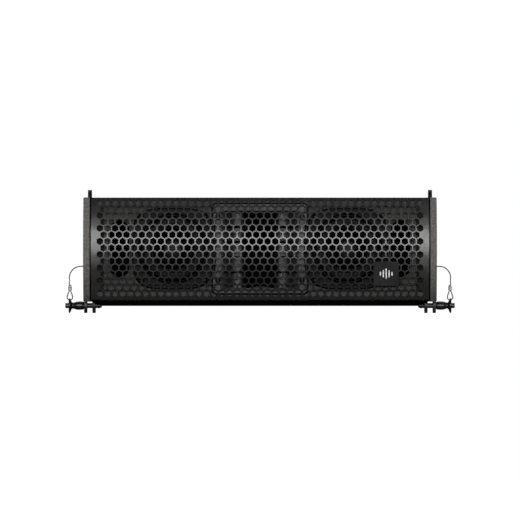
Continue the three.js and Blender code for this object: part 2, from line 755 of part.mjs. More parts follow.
// The buried length is a little thinner than the exposed tab, so only the tab is a mating face.
function topLink() {
  const { inner, outer, bottom, relief } = LINK;
  const whole = barOutline(FRONT_PIN.y, bottom, TAB_HOLE_Z + LOBE_RADIUS, LOBE_RADIUS);
  withHole(whole, FRONT_PIN.y, TAB_HOLE_Z, PIN_HOLE_RADIUS);
  const [front, back] = [FRONT_PIN.y - LOBE_RADIUS - 1, FRONT_PIN.y + LOBE_RADIUS + 1];
  const shoulder = TAB_HOLE_Z - LOBE_RADIUS - 1;
  return cut(
    sideways(whole, inner, outer),
    box([outer - relief, front, 0], [outer + 1, back, shoulder]),
    box([inner - 1, front, 0], [inner + relief, back, shoulder]),
  );
}

// A steel plate bolted under the front of the box, with a lip in front and an ear lanced down at
// each end.
function lowerRigBar() {
  const { thickness, gap, back, middleBack, middleHalf, window } = RIG_BAR;
  const lip = RIG_BAR_LIP;
  const outline = (last) =>
    polygon([
      [depth(lip.front), bottomZ(lip.front) - gap - thickness],
      [depth(last), bottomZ(last) - gap - thickness],
      [depth(last), bottomZ(last) - gap],
      [depth(lip.back), bottomZ(lip.back) - gap],
      [depth(lip.back), lip.top],
      [depth(lip.front), lip.top],
    ]);
  const earRoof = bottomZ(FRONT_PIN.y - FRONT_Y) - gap - 1;
  let made = sideways(outline(middleBack), -INNER_EAR.outer, INNER_EAR.outer);
  for (const side of [-1, 1]) {
    const [earLow, earHigh] = spanOn(side, INNER_EAR.inner, INNER_EAR.outer);
    const [windowLow, windowHigh] = spanOn(side, INNER_EAR.inner - window, INNER_EAR.inner);
    const [notchLow, notchHigh] = spanOn(side, RIG_BAR_NOTCH.from, INNER_EAR.outer + 1);
    const reach = LOBE_RADIUS;
    const ear = cut(
      sideways(barOutline(FRONT_PIN.y, 0, 2.5 * reach, reach), earLow, earHigh),
      box([earLow - 1, FRONT_PIN.y - 2 * reach, earRoof], [earHigh + 1, FRONT_PIN.y + 2 * reach, 3 * reach]),
    );
    made = cut(
      join(made, sideways(outline(back), ...spanOn(side, middleHalf, INNER_EAR.outer)), ear),
      lathed(rod(PIN_HOLE_RADIUS, earLow - 1, earHigh + 1), 16, alongX(0, FRONT_PIN.y, FRONT_PIN.z)),
      box([windowLow, FRONT_PIN.y - reach, 0], [windowHigh, FRONT_PIN.y + reach, 3 * reach]),
      box([notchLow, depth(lip.front - 1), 0], [notchHigh, FRONT_PIN.y - reach, RIG_BAR_NOTCH.top]),
    );
  }
  return made;
}

function rearBracket() {
  const { plate, halfWidth, gapHalf, cheek, cheekRadius, bottom, top } = BRACKET;
  const face = CABINET_DEPTH + GLUE_GAP;
  const flange = roundedRectangle(0, (bottom + top) / 2, 2 * halfWidth, top - bottom, 4);
  let made = frontal(flange, face, face + plate, 3);
  for (const side of [-1, 1]) {
    const outline = new THREE.Shape();
    outline.moveTo(depth(face + 1), top);
    outline.lineTo(depth(face + 1), bottom);
    outline.absarc(REAR_PIN.y, REAR_PIN.z, cheekRadius, -Math.PI / 2, 0, false);
    outline.absarc(REAR_PIN.y, top - cheekRadius, cheekRadius, 0, Math.PI / 2, false);
    outline.closePath();
    withHole(outline, REAR_PIN.y, REAR_PIN.z, PIN_HOLE_RADIUS);
    withHole(outline, REAR_PIN.y, ARM_PIVOT_Z, PIN_HOLE_RADIUS);
    made = join(made, sideways(outline, ...spanOn(side, gapHalf, gapHalf + cheek)));
  }
  const wireHole = rod(WIRE_RADIUS + 0.5, face - 1, face + plate + 1);
  return cut(made, lathed(wireHole, 10, alongY(REAR_EXIT.x, REAR_EXIT.z)));
}

// How far from the arm's pivot the next element's rear pin lies when it hangs at a splay angle.
function splayReach(degrees) {
  const angle = THREE.MathUtils.degToRad(degrees);
  const back = REAR_PIN.y - FRONT_PIN.y;
  const up = REAR_PIN.z - FRONT_PIN.z;
  const swungBack = back * Math.cos(angle) + up * Math.sin(angle);
  const swungUp = up * Math.cos(angle) - back * Math.sin(angle);
  return Math.hypot(swungBack - back, swungUp + TAB_HOLE_Z - ARM_PIVOT_Z);
}

function splayArm() {
  const reaches = SPLAY_ANGLES.map(splayReach);
  const low = ARM_PIVOT_Z - Math.max(...reaches) - ARM.lobe;
  const outline = barOutline(REAR_PIN.y, low, ARM_PIVOT_Z + ARM.lobe, ARM.lobe);
  for (const reach of [0, ...reaches]) {
    withHole(outline, REAR_PIN.y, ARM_PIVOT_Z - reach, PIN_HOLE_RADIUS);
  }
  return sideways(outline, -ARM.thickness / 2, ARM.thickness / 2);
}

// A shoulder bolt with its locking nut, through the bracket and the arm.
const splayBolt = () =>
  lathed(
    [
      [0, -12.6],
      [3, -12.6],
      [3, -11.6],
      [5.4, -11.6],
      [5.4, -7.5],
      [3, -7.5],
      [3, 7.5],
      [5.2, 7.5],
      [5.2, 9.6],
      [3.4, 10.9],
      [0, 10.9],
    ],
    16,
    alongX(0, REAR_PIN.y, ARM_PIVOT_Z),
  );

// ---------------------------------------------------------------- quick-release pins
// Drawn from the middle of the joint that the pin locks, with its handle towards +X.
function pinBody() {
  const profile = [
    [PIN_BORE.radius, PIN_BORE.end],
    [PIN_BORE.radius, PIN.flangeOut - PIN_BORE.buttonDepth],
    [PIN_BORE.buttonRadius, PIN.flangeOut - PIN_BORE.buttonDepth],
    [PIN_BORE.buttonRadius, PIN.flangeOut],
    [PIN_FLANGE_RADIUS, PIN.flangeOut],
    [PIN_FLANGE_RADIUS, PIN.flangeOut - 1.6],
    [7.2, PIN.flangeIn],
    [4.5, PIN.flangeIn - 1.2],
    [3.8, PIN.waist],
    [4.6, 18.4],
    [5.3, 14],
    [5.2, 9.4],
    [4.6, PIN.handleEnd],
    [PIN_RADIUS, PIN.handleEnd],
    [PIN_RADIUS, PIN.tip + 2.4],
    [1.9, PIN.tip],
    [0, PIN.tip],
    [0, PIN_BORE.end],
    [PIN_BORE.radius, PIN_BORE.end],
  ];
  const wireHole = rod(LANYARD_HOLE.radius, PIN.flangeIn - 3, PIN.flangeOut + 1);
  return cut(
    lathed(profile, 14, alongX(0, 0, 0)),
    lathed(wireHole, 8, alongX(0, 0, LANYARD_HOLE.above)),
  );
}

// The push button and the spindle that it works, in one turned piece.
function pinButton() {
  const neck = PIN.flangeOut - 0.6;
  const end = PIN_BORE.end + BUTTON.travel + 0.6;
  return lathed(
    [
      [0, end],
      [BUTTON.stem, end],
      [BUTTON.stem, neck],
      [BUTTON.radius, neck],
      [BUTTON.radius, PIN.button - 0.5],
      [BUTTON.radius - 0.5, PIN.button],
      [0, PIN.button],
    ],
    12,
    alongX(0, 0, 0),
  );
}

// ---------------------------------------------------------------- lanyards
// Lanyard points are [x, y, z] from the middle of the joint that the pin locks. The wire comes down
// through its ferrule, loops through the pin's flange and goes back up into the ferrule.
const MAIN_X = FERRULE.x + FERRULE.spacing / 2;
const TAIL_X = FERRULE.x - FERRULE.spacing / 2;
const EYE_X = (PIN.flangeIn + PIN.flangeOut) / 2;
const LOOP_ROUTE = [
  [MAIN_X, 0, 25.2],
  [MAIN_X, 0, 22],
  [MAIN_X, 0, 18.8],
  [EYE_X + 1.7, 0, 16],
  [EYE_X + 2.8, 0, 13.2],
  [EYE_X + 3.4, 0, 10.6],
  [EYE_X + 3, 0, 8.7],
  [EYE_X + 1.6, 0, 7.4],
  [EYE_X, 0, 7],
  [EYE_X - 1.6, 0, 7.4],
  [EYE_X - 3, 0, 8.7],
  [EYE_X - 3.4, 0, 10.6],
  [EYE_X - 2.8, 0, 13.2],
  [EYE_X - 1.9, 0, 16],
  [TAIL_X, 0, 18.8],
  [TAIL_X, 0, 22],
  [TAIL_X, 0, 26],
];
const FRONT_ROUTE = [
  [STOP.to - 1, FRONT_EXIT.out, FRONT_EXIT.up],
  [6, FRONT_EXIT.out, FRONT_EXIT.up],
  [10, FRONT_EXIT.out, FRONT_EXIT.up],
  [14.4, 14.8, 49],
  [18.4, 16, 47.8],
  [22, 17.8, 45.2],
  [24.7, 19, 41.6],
  [26, 18.4, 37.4],
  [26, 15.4, 33.6],
  [MAIN_X, 10.2, 31],
  [MAIN_X, 4.6, 29.6],
  [MAIN_X, 1.1, 27.8],
  ...LOOP_ROUTE,
];
const REAR_FACE = depth(CABINET_DEPTH + GLUE_GAP + BRACKET.plate) - REAR_PIN.y;
const REAR_ROUTE = [
  [REAR_EXIT.x, REAR_FACE - 1.6, REAR_EXIT.z - REAR_PIN.z],
  [REAR_EXIT.x, REAR_FACE + 1.4, REAR_EXIT.z - REAR_PIN.z],
  [REAR_EXIT.x, REAR_FACE + 5, 37.9],
  [18.3, REAR_FACE + 9.4, 37],
  [19.6, REAR_FACE + 12.9, 34.5],
  [22, REAR_FACE + 13.4, 31.4],
  [24.4, REAR_FACE + 12.4, 28.6],
  ...LOOP_ROUTE,
];

function frontLanyard() {
  const start = rod(STOP.radius, STOP.from, STOP.to);
  const stop = lathed(start, 12, alongX(0, FRONT_EXIT.out, FRONT_EXIT.up));
  return join(tube(FRONT_ROUTE, WIRE_RADIUS, WIRE_STEPS), stop);
}

const rearLanyard = () => tube(REAR_ROUTE, WIRE_RADIUS, WIRE_STEPS);

// A crimped sleeve round the two runs of wire.
function ferrule() {
  const { x, low, high, spacing, wall, clearance } = FERRULE;
  const stadium = (radius) => {
    const shape = new THREE.Shape();
    shape.absarc(x + spacing / 2, 0, radius, -Math.PI / 2, Math.PI / 2, false);
    shape.absarc(x - spacing / 2, 0, radius, Math.PI / 2, Math.PI * 1.5, false);
    shape.closePath();
    return shape;
  };
  const outline = stadium(WIRE_RADIUS + clearance + wall);
  outline.holes.push(new THREE.Path(stadium(WIRE_RADIUS + clearance).getPoints(3)));
  const options = { depth: high - low, bevelEnabled: false, curveSegments: 3 };
  return solid(new THREE.ExtrudeGeometry(outline, options).translate(0, 0, low));
}

// ---------------------------------------------------------------- assembly
const speaker = new THREE.Group();

const WOOFER_PIECES = [
  ["woofer_basket", basket, MATERIALS.basket],
  ["woofer_surround", surround, MATERIALS.rubber],
  ["woofer_cone", cone, MATERIALS.paper],
  ["woofer_dust_cap", dustCap, MATERIALS.paper],
  ["woofer_voice_coil", voiceCoil, MATERIALS.kapton],
  ["woofer_spider", spider, MATERIALS.cloth],
  ["woofer_top_plate", topPlate, MATERIALS.zinc],
  ["woofer_magnet", magnet, MATERIALS.ferrite],
  ["woofer_pole_yoke", poleYoke, MATERIALS.zinc],
];
const PIN_PIECES = [
  ["pin", pinBody, MATERIALS.blackSteel],
  ["pin_button", pinButton, MATERIALS.zinc],
  ["lanyard_ferrule", ferrule, MATERIALS.aluminium],
];

function group(parent, x, y, z) {
  const made = new THREE.Group();
  made.position.set(x, y, z);
  parent.add(made);
  return made;
}

for (const [end, side] of [["left", -1], ["right", 1]]) {
  const half = group(speaker, 0, 0, 0);
  half.scale.x = side;
  piece(`side_panel_${end}`, sidePanel(), MATERIALS.paint, half);
  piece(`front_rig_plate_${end}`, frontRigPlate(), MATERIALS.blackSteel, half);
  piece(`top_link_${end}`, topLink(), MATERIALS.blackSteel, half);

  const frontPin = group(half, FRONT_PIN.x, FRONT_PIN.y, FRONT_PIN.z);
  for (const [name, make, material] of PIN_PIECES) {
    piece(`${name}_${end}`, make(), material, frontPin);
  }
  piece(`lanyard_wire_${end}`, frontLanyard(), MATERIALS.wire, frontPin);

  const woofer = group(speaker, side * WOOFER_X, 0, DRIVER_Z);
  for (const [name, make, material] of WOOFER_PIECES) {
    piece(`${name}_${end}`, make(), material, woofer);
  }
  piece(`port_duct_${end}`, portDuct(side), MATERIALS.plastic, speaker);
}

const rearPin = group(speaker, REAR_PIN.x, REAR_PIN.y, REAR_PIN.z);
for (const [name, make, material] of PIN_PIECES) {
  piece(`${name}_rear`, make(), material, rearPin);
}
piece("lanyard_wire_rear", rearLanyard(), MATERIALS.wire, rearPin);

piece("top_panel", slopedPanel(topZ, -1), MATERIALS.paint, speaker);
piece("bottom_panel", slopedPanel(bottomZ, 1), MATERIALS.paint, speaker);
piece("rear_panel", rearPanel(), MATERIALS.paint, speaker);
piece("baffle", baffle(), MATERIALS.paint, speaker);
piece("brace", brace(), MATERIALS.plywood, speaker);
piece("front_grille", grille(), MATERIALS.grille, speaker);
piece("badge_plate", badge(), MATERIALS.badge, speaker);
piece("horn_waveguide", hornWaveguide(), MATERIALS.plastic, speaker);
piece("wave_shaper", waveShaper(), MATERIALS.plastic, speaker);
piece("compression_driver", compressionDriver(), MATERIALS.basket, speaker);
piece("compression_driver_cover", driverCover(), MATERIALS.plastic, speaker);
piece("crossover_board", crossoverBoard(), MATERIALS.board, speaker);
piece("crossover_inductor", inductor(), MATERIALS.copper, speaker);
piece("crossover_capacitor", capacitor(), MATERIALS.film, speaker);
piece("wiring_loom", wiringLoom(), MATERIALS.plastic, speaker);
piece("input_plate", inputPlate(), MATERIALS.blackSteel, speaker);
piece("socket_in", socket(-1), MATERIALS.plastic, speaker);
piece("socket_link", socket(1), MATERIALS.plastic, speaker);
piece("lower_rig_bar", lowerRigBar(), MATERIALS.blackSteel, speaker);
piece("rear_rig_bracket", rearBracket(), MATERIALS.blackSteel, speaker);
piece("splay_arm", splayArm(), MATERIALS.zinc, speaker);
piece("splay_pivot_bolt", splayBolt(), MATERIALS.zinc, speaker);

export default speaker;
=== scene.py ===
"""Looks of a compact line array loudspeaker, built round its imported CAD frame.

Lengths in the tables below are millimetres in the row frame: +Z up, the grille faces -Y. "Depth" is
the distance behind the frontmost edge of the cheeks. Meshes are written in metres.
"""

import json
import math

import bmesh
import bpy
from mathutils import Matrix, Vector
from mathutils.geometry import delaunay_2d_cdt


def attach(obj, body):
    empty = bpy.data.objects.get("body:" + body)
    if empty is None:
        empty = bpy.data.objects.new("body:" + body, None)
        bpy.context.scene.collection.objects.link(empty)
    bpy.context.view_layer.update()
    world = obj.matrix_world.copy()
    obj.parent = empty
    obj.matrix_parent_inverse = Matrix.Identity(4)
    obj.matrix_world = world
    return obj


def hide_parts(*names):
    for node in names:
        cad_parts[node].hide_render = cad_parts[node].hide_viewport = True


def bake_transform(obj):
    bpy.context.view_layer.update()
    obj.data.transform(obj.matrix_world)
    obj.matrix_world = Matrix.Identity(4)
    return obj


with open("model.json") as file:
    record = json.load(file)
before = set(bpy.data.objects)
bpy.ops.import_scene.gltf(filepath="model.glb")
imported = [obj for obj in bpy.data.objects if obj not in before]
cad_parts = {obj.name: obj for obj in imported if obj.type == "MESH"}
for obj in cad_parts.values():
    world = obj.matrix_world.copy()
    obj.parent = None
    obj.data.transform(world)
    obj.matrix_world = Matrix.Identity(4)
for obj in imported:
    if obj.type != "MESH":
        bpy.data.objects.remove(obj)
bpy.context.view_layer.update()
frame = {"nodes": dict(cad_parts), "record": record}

# ---------------- dimensions
MM = 0.001
FRONT_Y = -120
FACE_RADIUS = 160
MID_Z = 78.7

GRILLE = {"half_width": 210.3, "low": 16.4, "high": 142.8, "set_back": 0.6, "sheet": 1.2}
GRILLE_MID = (GRILLE["low"] + GRILLE["high"]) / 2
PERFORATION = {"pitch": 9.48, "across": 7.6, "rows": 15, "in_row": 43, "middle": 80.4, "chamfer": 0.22}
BADGE = {"x": 156.9, "z": 48.5, "width": 31.3, "height": 30.6}
DRIVER_Z = 79.7
WOOFER_X = 108.3
WOOFER_FRAME = 49.8  # half the frame's width
FRAME_SCREW = 39.4  # across and up from the woofer's axis
PORT = {"x": 174.9, "width": 22.8, "height": 70, "length": 92}
HORN = {"width": 117.8, "height": 111.7, "front": 12.6, "back": 15.9, "mouth": 47.6, "relief": 53.2}
HORN_SCREW = (52.3, 39.4)
MOUTH_LOW, MOUTH_HIGH = 29.4, 126.6
BAFFLE_FRONT = 16  # depth
# the outside faces lie beyond outside along X, the rear edges beyond rear_edge along Y, and the
# rear panel's opening reaches less than opening from the middle height
CABINET = {"outside": 219.5, "rear_edge": 97, "opening": 30}
FOAM = {"x": 201.2, "width": 13.4, "height": 104, "front": 13.6, "back": 15.9}
# the CAD baffle's opening for the horn, and how much wider and lower the visible one is
HORN_OPENING = {"half_width": 42, "half_height": 48, "wider": 8.6, "lower": 2.4}
INPUT = {"x": 112, "face": 220.1, "screw": (46, 22), "sockets_apart": 46}
FRONT_PIN = (212.2, FRONT_Y + 38, 9.3)
REAR_PIN = (0, FRONT_Y + 230.9, 38)
ARM_PIVOT_Z = 118


def depth(distance):
    return FRONT_Y + distance


def add_object(name, data):
    made = bpy.data.objects.new(name, data)
    bpy.context.scene.collection.objects.link(made)
    return made


def arc_back(height):
    """How far the bulging front lies behind its frontmost line, at a height from its middle."""
    return FACE_RADIUS - math.sqrt(FACE_RADIUS**2 - height**2)


# ---------------- camera
CAMERA_DISTANCE = 9.0
CAMERA_BELOW = math.radians(1.2)
AIM = Vector((0, -0.11, 0.0656))
SEEN_WIDTH = 0.647  # metres across the picture at the aim
SENSOR = 36


def make_camera():
    data = bpy.data.cameras.new("camera")
    data.sensor_width = SENSOR
    data.lens = SENSOR * CAMERA_DISTANCE / SEEN_WIDTH
    camera = add_object("camera", data)
    away = Vector((0, -math.cos(CAMERA_BELOW), -math.sin(CAMERA_BELOW)))
    camera.location = AIM + away * CAMERA_DISTANCE
    camera.rotation_euler = (-away).to_track_quat("-Z", "Y").to_euler()
    bpy.context.scene.camera = camera


make_camera()


# ---------------- materials
FINISHES = {}  # every material under its name, as each is made


class Finish:
    """A procedural material, built up one texture at a time in object coordinates."""

    def __init__(self, name, **settings):
        self.material = FINISHES[name] = bpy.data.materials.new(name)
        self.material.use_nodes = True
        self.tree = self.material.node_tree
        self.shader = self.tree.nodes["Principled BSDF"]
        for socket, value in settings.items():
            title = socket.replace("_", " ").title().replace("Ior", "IOR")
            self.shader.inputs[title].default_value = value
        self.place = self.node("ShaderNodeTexCoord").outputs["Object"]

    def node(self, kind, **inputs):
        made = self.tree.nodes.new(kind)
        for name, value in inputs.items():
            made.inputs[name].default_value = value
        return made

    def link(self, output, socket):
        self.tree.links.new(output, socket)
        return self

    def noise(self, size, detail=3.0, stretch=(1, 1, 1)):
        """Noise whose lumps are about size millimetres across, longer where stretch is small."""
        mapping = self.node("ShaderNodeMapping", Scale=stretch)
        self.link(self.place, mapping.inputs["Vector"])
        made = self.node("ShaderNodeTexNoise", Scale=1 / (size * MM), Detail=detail)
        self.link(mapping.outputs["Vector"], made.inputs["Vector"])
        return made.outputs["Fac"]

    def spread(self, source, low, high, start=0.3, end=0.7):
        made = self.node("ShaderNodeMapRange")
        for name, value in (("From Min", start), ("From Max", end), ("To Min", low), ("To Max", high)):
            made.inputs[name].default_value = value
        self.link(source, made.inputs["Value"])
        return made.outputs["Result"]

    def ramp(self, source, *stops):
        made = self.node("ShaderNodeValToRGB")
        elements = made.color_ramp.elements
        while len(elements) < len(stops):
            elements.new(0.5)
        for element, (position, color) in zip(elements, stops):
            element.position = position
            element.color = (*color, 1)
        self.link(source, made.inputs["Fac"])
        return made.outputs["Color"]

    def blend(self, factor, first, second):
        made = self.node("ShaderNodeMix")
        made.data_type = "RGBA"
        self.link(factor, made.inputs["Factor"])
        self.link(first, made.inputs["A"])
        self.link(second, made.inputs["B"])
        return made.outputs["Result"]

    def product(self, first, second):
        made = self.node("ShaderNodeMath")
        made.operation = "MULTIPLY"
        self.link(first, made.inputs[0]).link(second, made.inputs[1])
        return made.outputs["Value"]

    def edges(self):
        """High along convex edges."""
        return self.spread(self.node("ShaderNodeNewGeometry").outputs["Pointiness"], 0, 1, 0.54, 0.64)

    def color(self, output):
        return self.link(output, self.shader.inputs["Base Color"])

    def roughness(self, output):
        return self.link(output, self.shader.inputs["Roughness"])

    def bump(self, height, reach, strength=1.0):
        """Relief of about reach millimetres. A second call adds to the first."""
        made = self.node("ShaderNodeBump", Strength=strength, Distance=reach * MM)
        self.link(height, made.inputs["Height"])
        normal = self.shader.inputs["Normal"]
        if normal.is_linked:
            self.link(normal.links[0].from_socket, made.inputs["Normal"])
        return self.link(made.outputs["Normal"], normal)


def grey(value, warm=0.0):
    return (value * (1 + warm), value, value * (1 - warm))


def coated(name, dark, light, rough, grain, relief, warm=0.0, wear=None, specular=0.5, metallic=0.0):
    """A coat with fine grain, slow variation of colour and gloss, and bare colour on worn edges."""
    made = Finish(name, specular_ior_level=specular, metallic=metallic)
    fine, slow = made.noise(grain), made.noise(grain * 60, 2)
    mottled = made.ramp(fine, (0.3, grey(dark, warm)), (0.7, grey(light, warm)))
    shaded = made.ramp(slow, (0.3, grey(dark * 0.85, warm)), (0.7, grey(light * 1.05, warm)))
    tone = made.blend(made.spread(slow, 0.25, 0.6), mottled, shaded)
    if wear:
        scuffed = made.ramp(made.noise(6, 4), (0.56, grey(0)), (0.68, grey(1)))
        bare = made.ramp(fine, (0.3, grey(wear * 0.7)), (0.7, grey(wear)))
        tone = made.blend(made.product(made.edges(), scuffed), tone, bare)
    made.color(tone).roughness(made.spread(slow, *rough)).bump(fine, relief)


def paint_finish(name, strength=1.0, painted_low_shade=False):
    """Thick sprayed coat: crumbs of two sizes over a warm dark grey. Its third argument adds painted shade,
    darker towards the bottom.
    """
    def shade(value):
        return grey(value * strength, 0.045)

    made = Finish(name, specular_ior_level=0.35)
    crumbs, specks, slow = made.noise(2.6, 3), made.noise(1.1, 2), made.noise(70, 2)
    base = made.ramp(crumbs, (0.34, shade(0.052)), (0.66, shade(0.18)))
    dusty = made.ramp(specks, (0.35, shade(0.066)), (0.68, shade(0.20)))
    tone = made.blend(made.spread(slow, 0.35, 0.65), base, dusty)
    # painted shade: the coat darkens towards the bottom, most below 16 mm and not at all above 62 mm
    if painted_low_shade:
        height = made.node("ShaderNodeSeparateXYZ")
        made.link(made.place, height.inputs[0])
        low = made.spread(height.outputs["Z"], 0.75, 0, 16 * MM, 62 * MM)
        low_shade_tone = made.ramp(crumbs, (0.3, shade(0.012)), (0.7, shade(0.03)))
        tone = made.blend(low, tone, low_shade_tone)
    made.color(tone).roughness(made.spread(specks, 0.72, 0.92))
    made.bump(crumbs, 0.5).bump(specks, 0.16, 0.8)


def brushed(name, dark, light, rough, stretch):
    """Metal drawn or ground one way, with a slow change of tone."""
    made = Finish(name, metallic=1.0)
    lines, slow = made.noise(0.5, 2, stretch), made.noise(14, 3)
    made.color(made.ramp(lines, (0.3, grey(dark)), (0.7, grey(light))))
    made.roughness(made.spread(slow, *rough)).bump(lines, 0.01, 0.4)


def ply_finish():
    made = Finish("birch_ply", roughness=0.7)
    grain, slow = made.noise(1.4, 4, (1, 0.06, 1)), made.noise(40, 2, (1, 0.3, 1))
    made.color(made.blend(
        made.spread(slow, 0.2, 0.7),
        made.ramp(grain, (0.3, (0.36, 0.22, 0.10)), (0.7, (0.62, 0.44, 0.25))),
        made.ramp(grain, (0.3, (0.44, 0.29, 0.15)), (0.7, (0.68, 0.50, 0.30))),
    ))
    made.bump(grain, 0.08)


def tinted(name, dark, light, rough, grain, relief):
    """A coloured material with fine grain."""
    made = Finish(name)
    fine, slow = made.noise(grain), made.noise(grain * 25, 2)
    made.color(made.ramp(fine, (0.3, dark), (0.7, light)))
    made.roughness(made.spread(slow, *rough)).bump(fine, relief)


def woven(name, dark, light, pitch, relief):
    """Crossed threads, drawn as two sets of bands."""
    made = Finish(name, roughness=0.85)
    bands = []
    for direction in ("X", "Z"):
        wave = made.node("ShaderNodeTexWave", Scale=0.16 / (pitch * MM), Distortion=0.6)
        wave.bands_direction = direction
        made.link(made.place, wave.inputs["Vector"])
        bands.append(wave.outputs["Fac"])
    height = made.product(*bands)
    made.color(made.ramp(height, (0.1, dark), (0.8, light))).bump(height, relief)


paint_finish("textured_paint")
# the cheeks' front: the paint with painted shade, darker towards the bottom
paint_finish("cheek_edge", painted_low_shade=True)
# a darker copy of the paint, as painted shade behind the grille: on the baffle and the floor panel's front
# end
paint_finish("shaded_baffle_paint", 0.32)
# a still darker copy of the paint, as painted shade on the lid's front end
paint_finish("shaded_lid_edge", 0.25)
# a near-black lining for the rear board's inside; its darkness is partly painted shade of the closed box
coated("lining_and_shade", 0.002, 0.005, (0.9, 1.0), 1.5, 0.5, specular=0.02)
ply_finish()
coated("grille_steel", 0.011, 0.015, (0.29, 0.35), 0.35, 0.010, specular=0.6)
coated("badge_plastic", 0.008, 0.012, (0.28, 0.36), 0.3, 0.006)
coated("badge_mark", 0.72, 0.86, (0.4, 0.5), 0.4, 0.01)
coated("black_steel", 0.010, 0.016, (0.34, 0.44), 0.5, 0.015, wear=0.04, specular=0.4)
# near-black with no gloss: painted shadow in gaps, grooves and steps that lie in shade
coated("shadow_black", 0.0006, 0.0014, (0.7, 0.8), 0.5, 0.03, specular=0.0)
coated("link_steel", 0.003, 0.005, (0.5, 0.6), 0.5, 0.02, wear=0.05, specular=0.08)
coated("foam", 0.011, 0.019, (0.9, 1.0), 0.9, 0.25, warm=0.08, specular=0.05)
coated("pin_black", 0.006, 0.010, (0.3, 0.38), 0.4, 0.01, metallic=0.2)
brushed("pin_shank", 0.05, 0.08, (0.36, 0.46), (0.1, 1, 1))
brushed("pin_button_steel", 0.04, 0.07, (0.34, 0.44), (0.1, 1, 1))
coated("wire_rope", 0.10, 0.16, (0.5, 0.6), 0.4, 0.01, specular=0.2)
brushed("ferrule_aluminium", 0.22, 0.32, (0.5, 0.6), (1, 1, 0.2))
brushed("zinc_steel", 0.42, 0.6, (0.28, 0.42), (1, 1, 0.15))
coated("basket_steel", 0.0045, 0.0075, (0.6, 0.72), 0.5, 0.02, specular=0.12)
coated("surround_rubber", 0.0046, 0.007, (0.6, 0.72), 0.8, 0.03, specular=0.12)
coated("cone_paper", 0.0008, 0.002, (0.85, 0.98), 1.2, 0.12, specular=0.02)
coated("dust_cap", 0.004, 0.0065, (0.42, 0.52), 1.0, 0.02, specular=0.16)
tinted("coil_former", (0.25, 0.10, 0.02), (0.36, 0.16, 0.04), (0.3, 0.4), 0.4, 0.01)
woven("spider_cloth", (0.28, 0.16, 0.05), (0.52, 0.34, 0.14), 0.8, 0.1)
coated("ferrite", 0.02, 0.035, (0.55, 0.7), 0.8, 0.03)
coated("moulded_plastic", 0.010, 0.016, (0.5, 0.6), 0.5, 0.03)
coated("horn_plastic", 0.0165, 0.0205, (0.46, 0.54), 0.5, 0.004, specular=0.42)
# a darker copy of horn_plastic: painted shade on the horn plate above and below the mouth
coated("horn_outer_shaded", 0.006, 0.009, (0.42, 0.5), 0.5, 0.015, specular=0.24)
coated("throat_shade", 0.002, 0.004, (0.85, 0.95), 0.5, 0.02, specular=0.05)
brushed("driver_casting", 0.16, 0.24, (0.45, 0.6), (1, 1, 1))
tinted("circuit_board", (0.01, 0.07, 0.03), (0.03, 0.14, 0.06), (0.3, 0.4), 2, 0.02)
brushed("copper_winding", 0.3, 0.5, (0.25, 0.35), (1, 0.05, 1))
tinted("film_capacitor", (0.5, 0.32, 0.04), (0.62, 0.42, 0.07), (0.2, 0.3), 1, 0.01)
coated("cable_sheath", 0.012, 0.02, (0.55, 0.7), 0.5, 0.02)
coated("socket_plastic", 0.012, 0.02, (0.42, 0.52), 0.4, 0.02)
coated("screw_black", 0.012, 0.02, (0.3, 0.42), 0.3, 0.01, wear=0.2, metallic=0.5)


# ---------------- mesh building
def facing(x=0.0, z=0.0):
    """Places (across, up, depth) about an axis that runs back from the front."""
    return lambda across, up, back: (x + across, depth(back), z + up)


def outward(x, y, z, side=1):
    """Places (across, up, along) about an axis that runs towards +X, or -X for side -1."""
    return lambda across, up, along: (x + side * along, y + across, z + up)


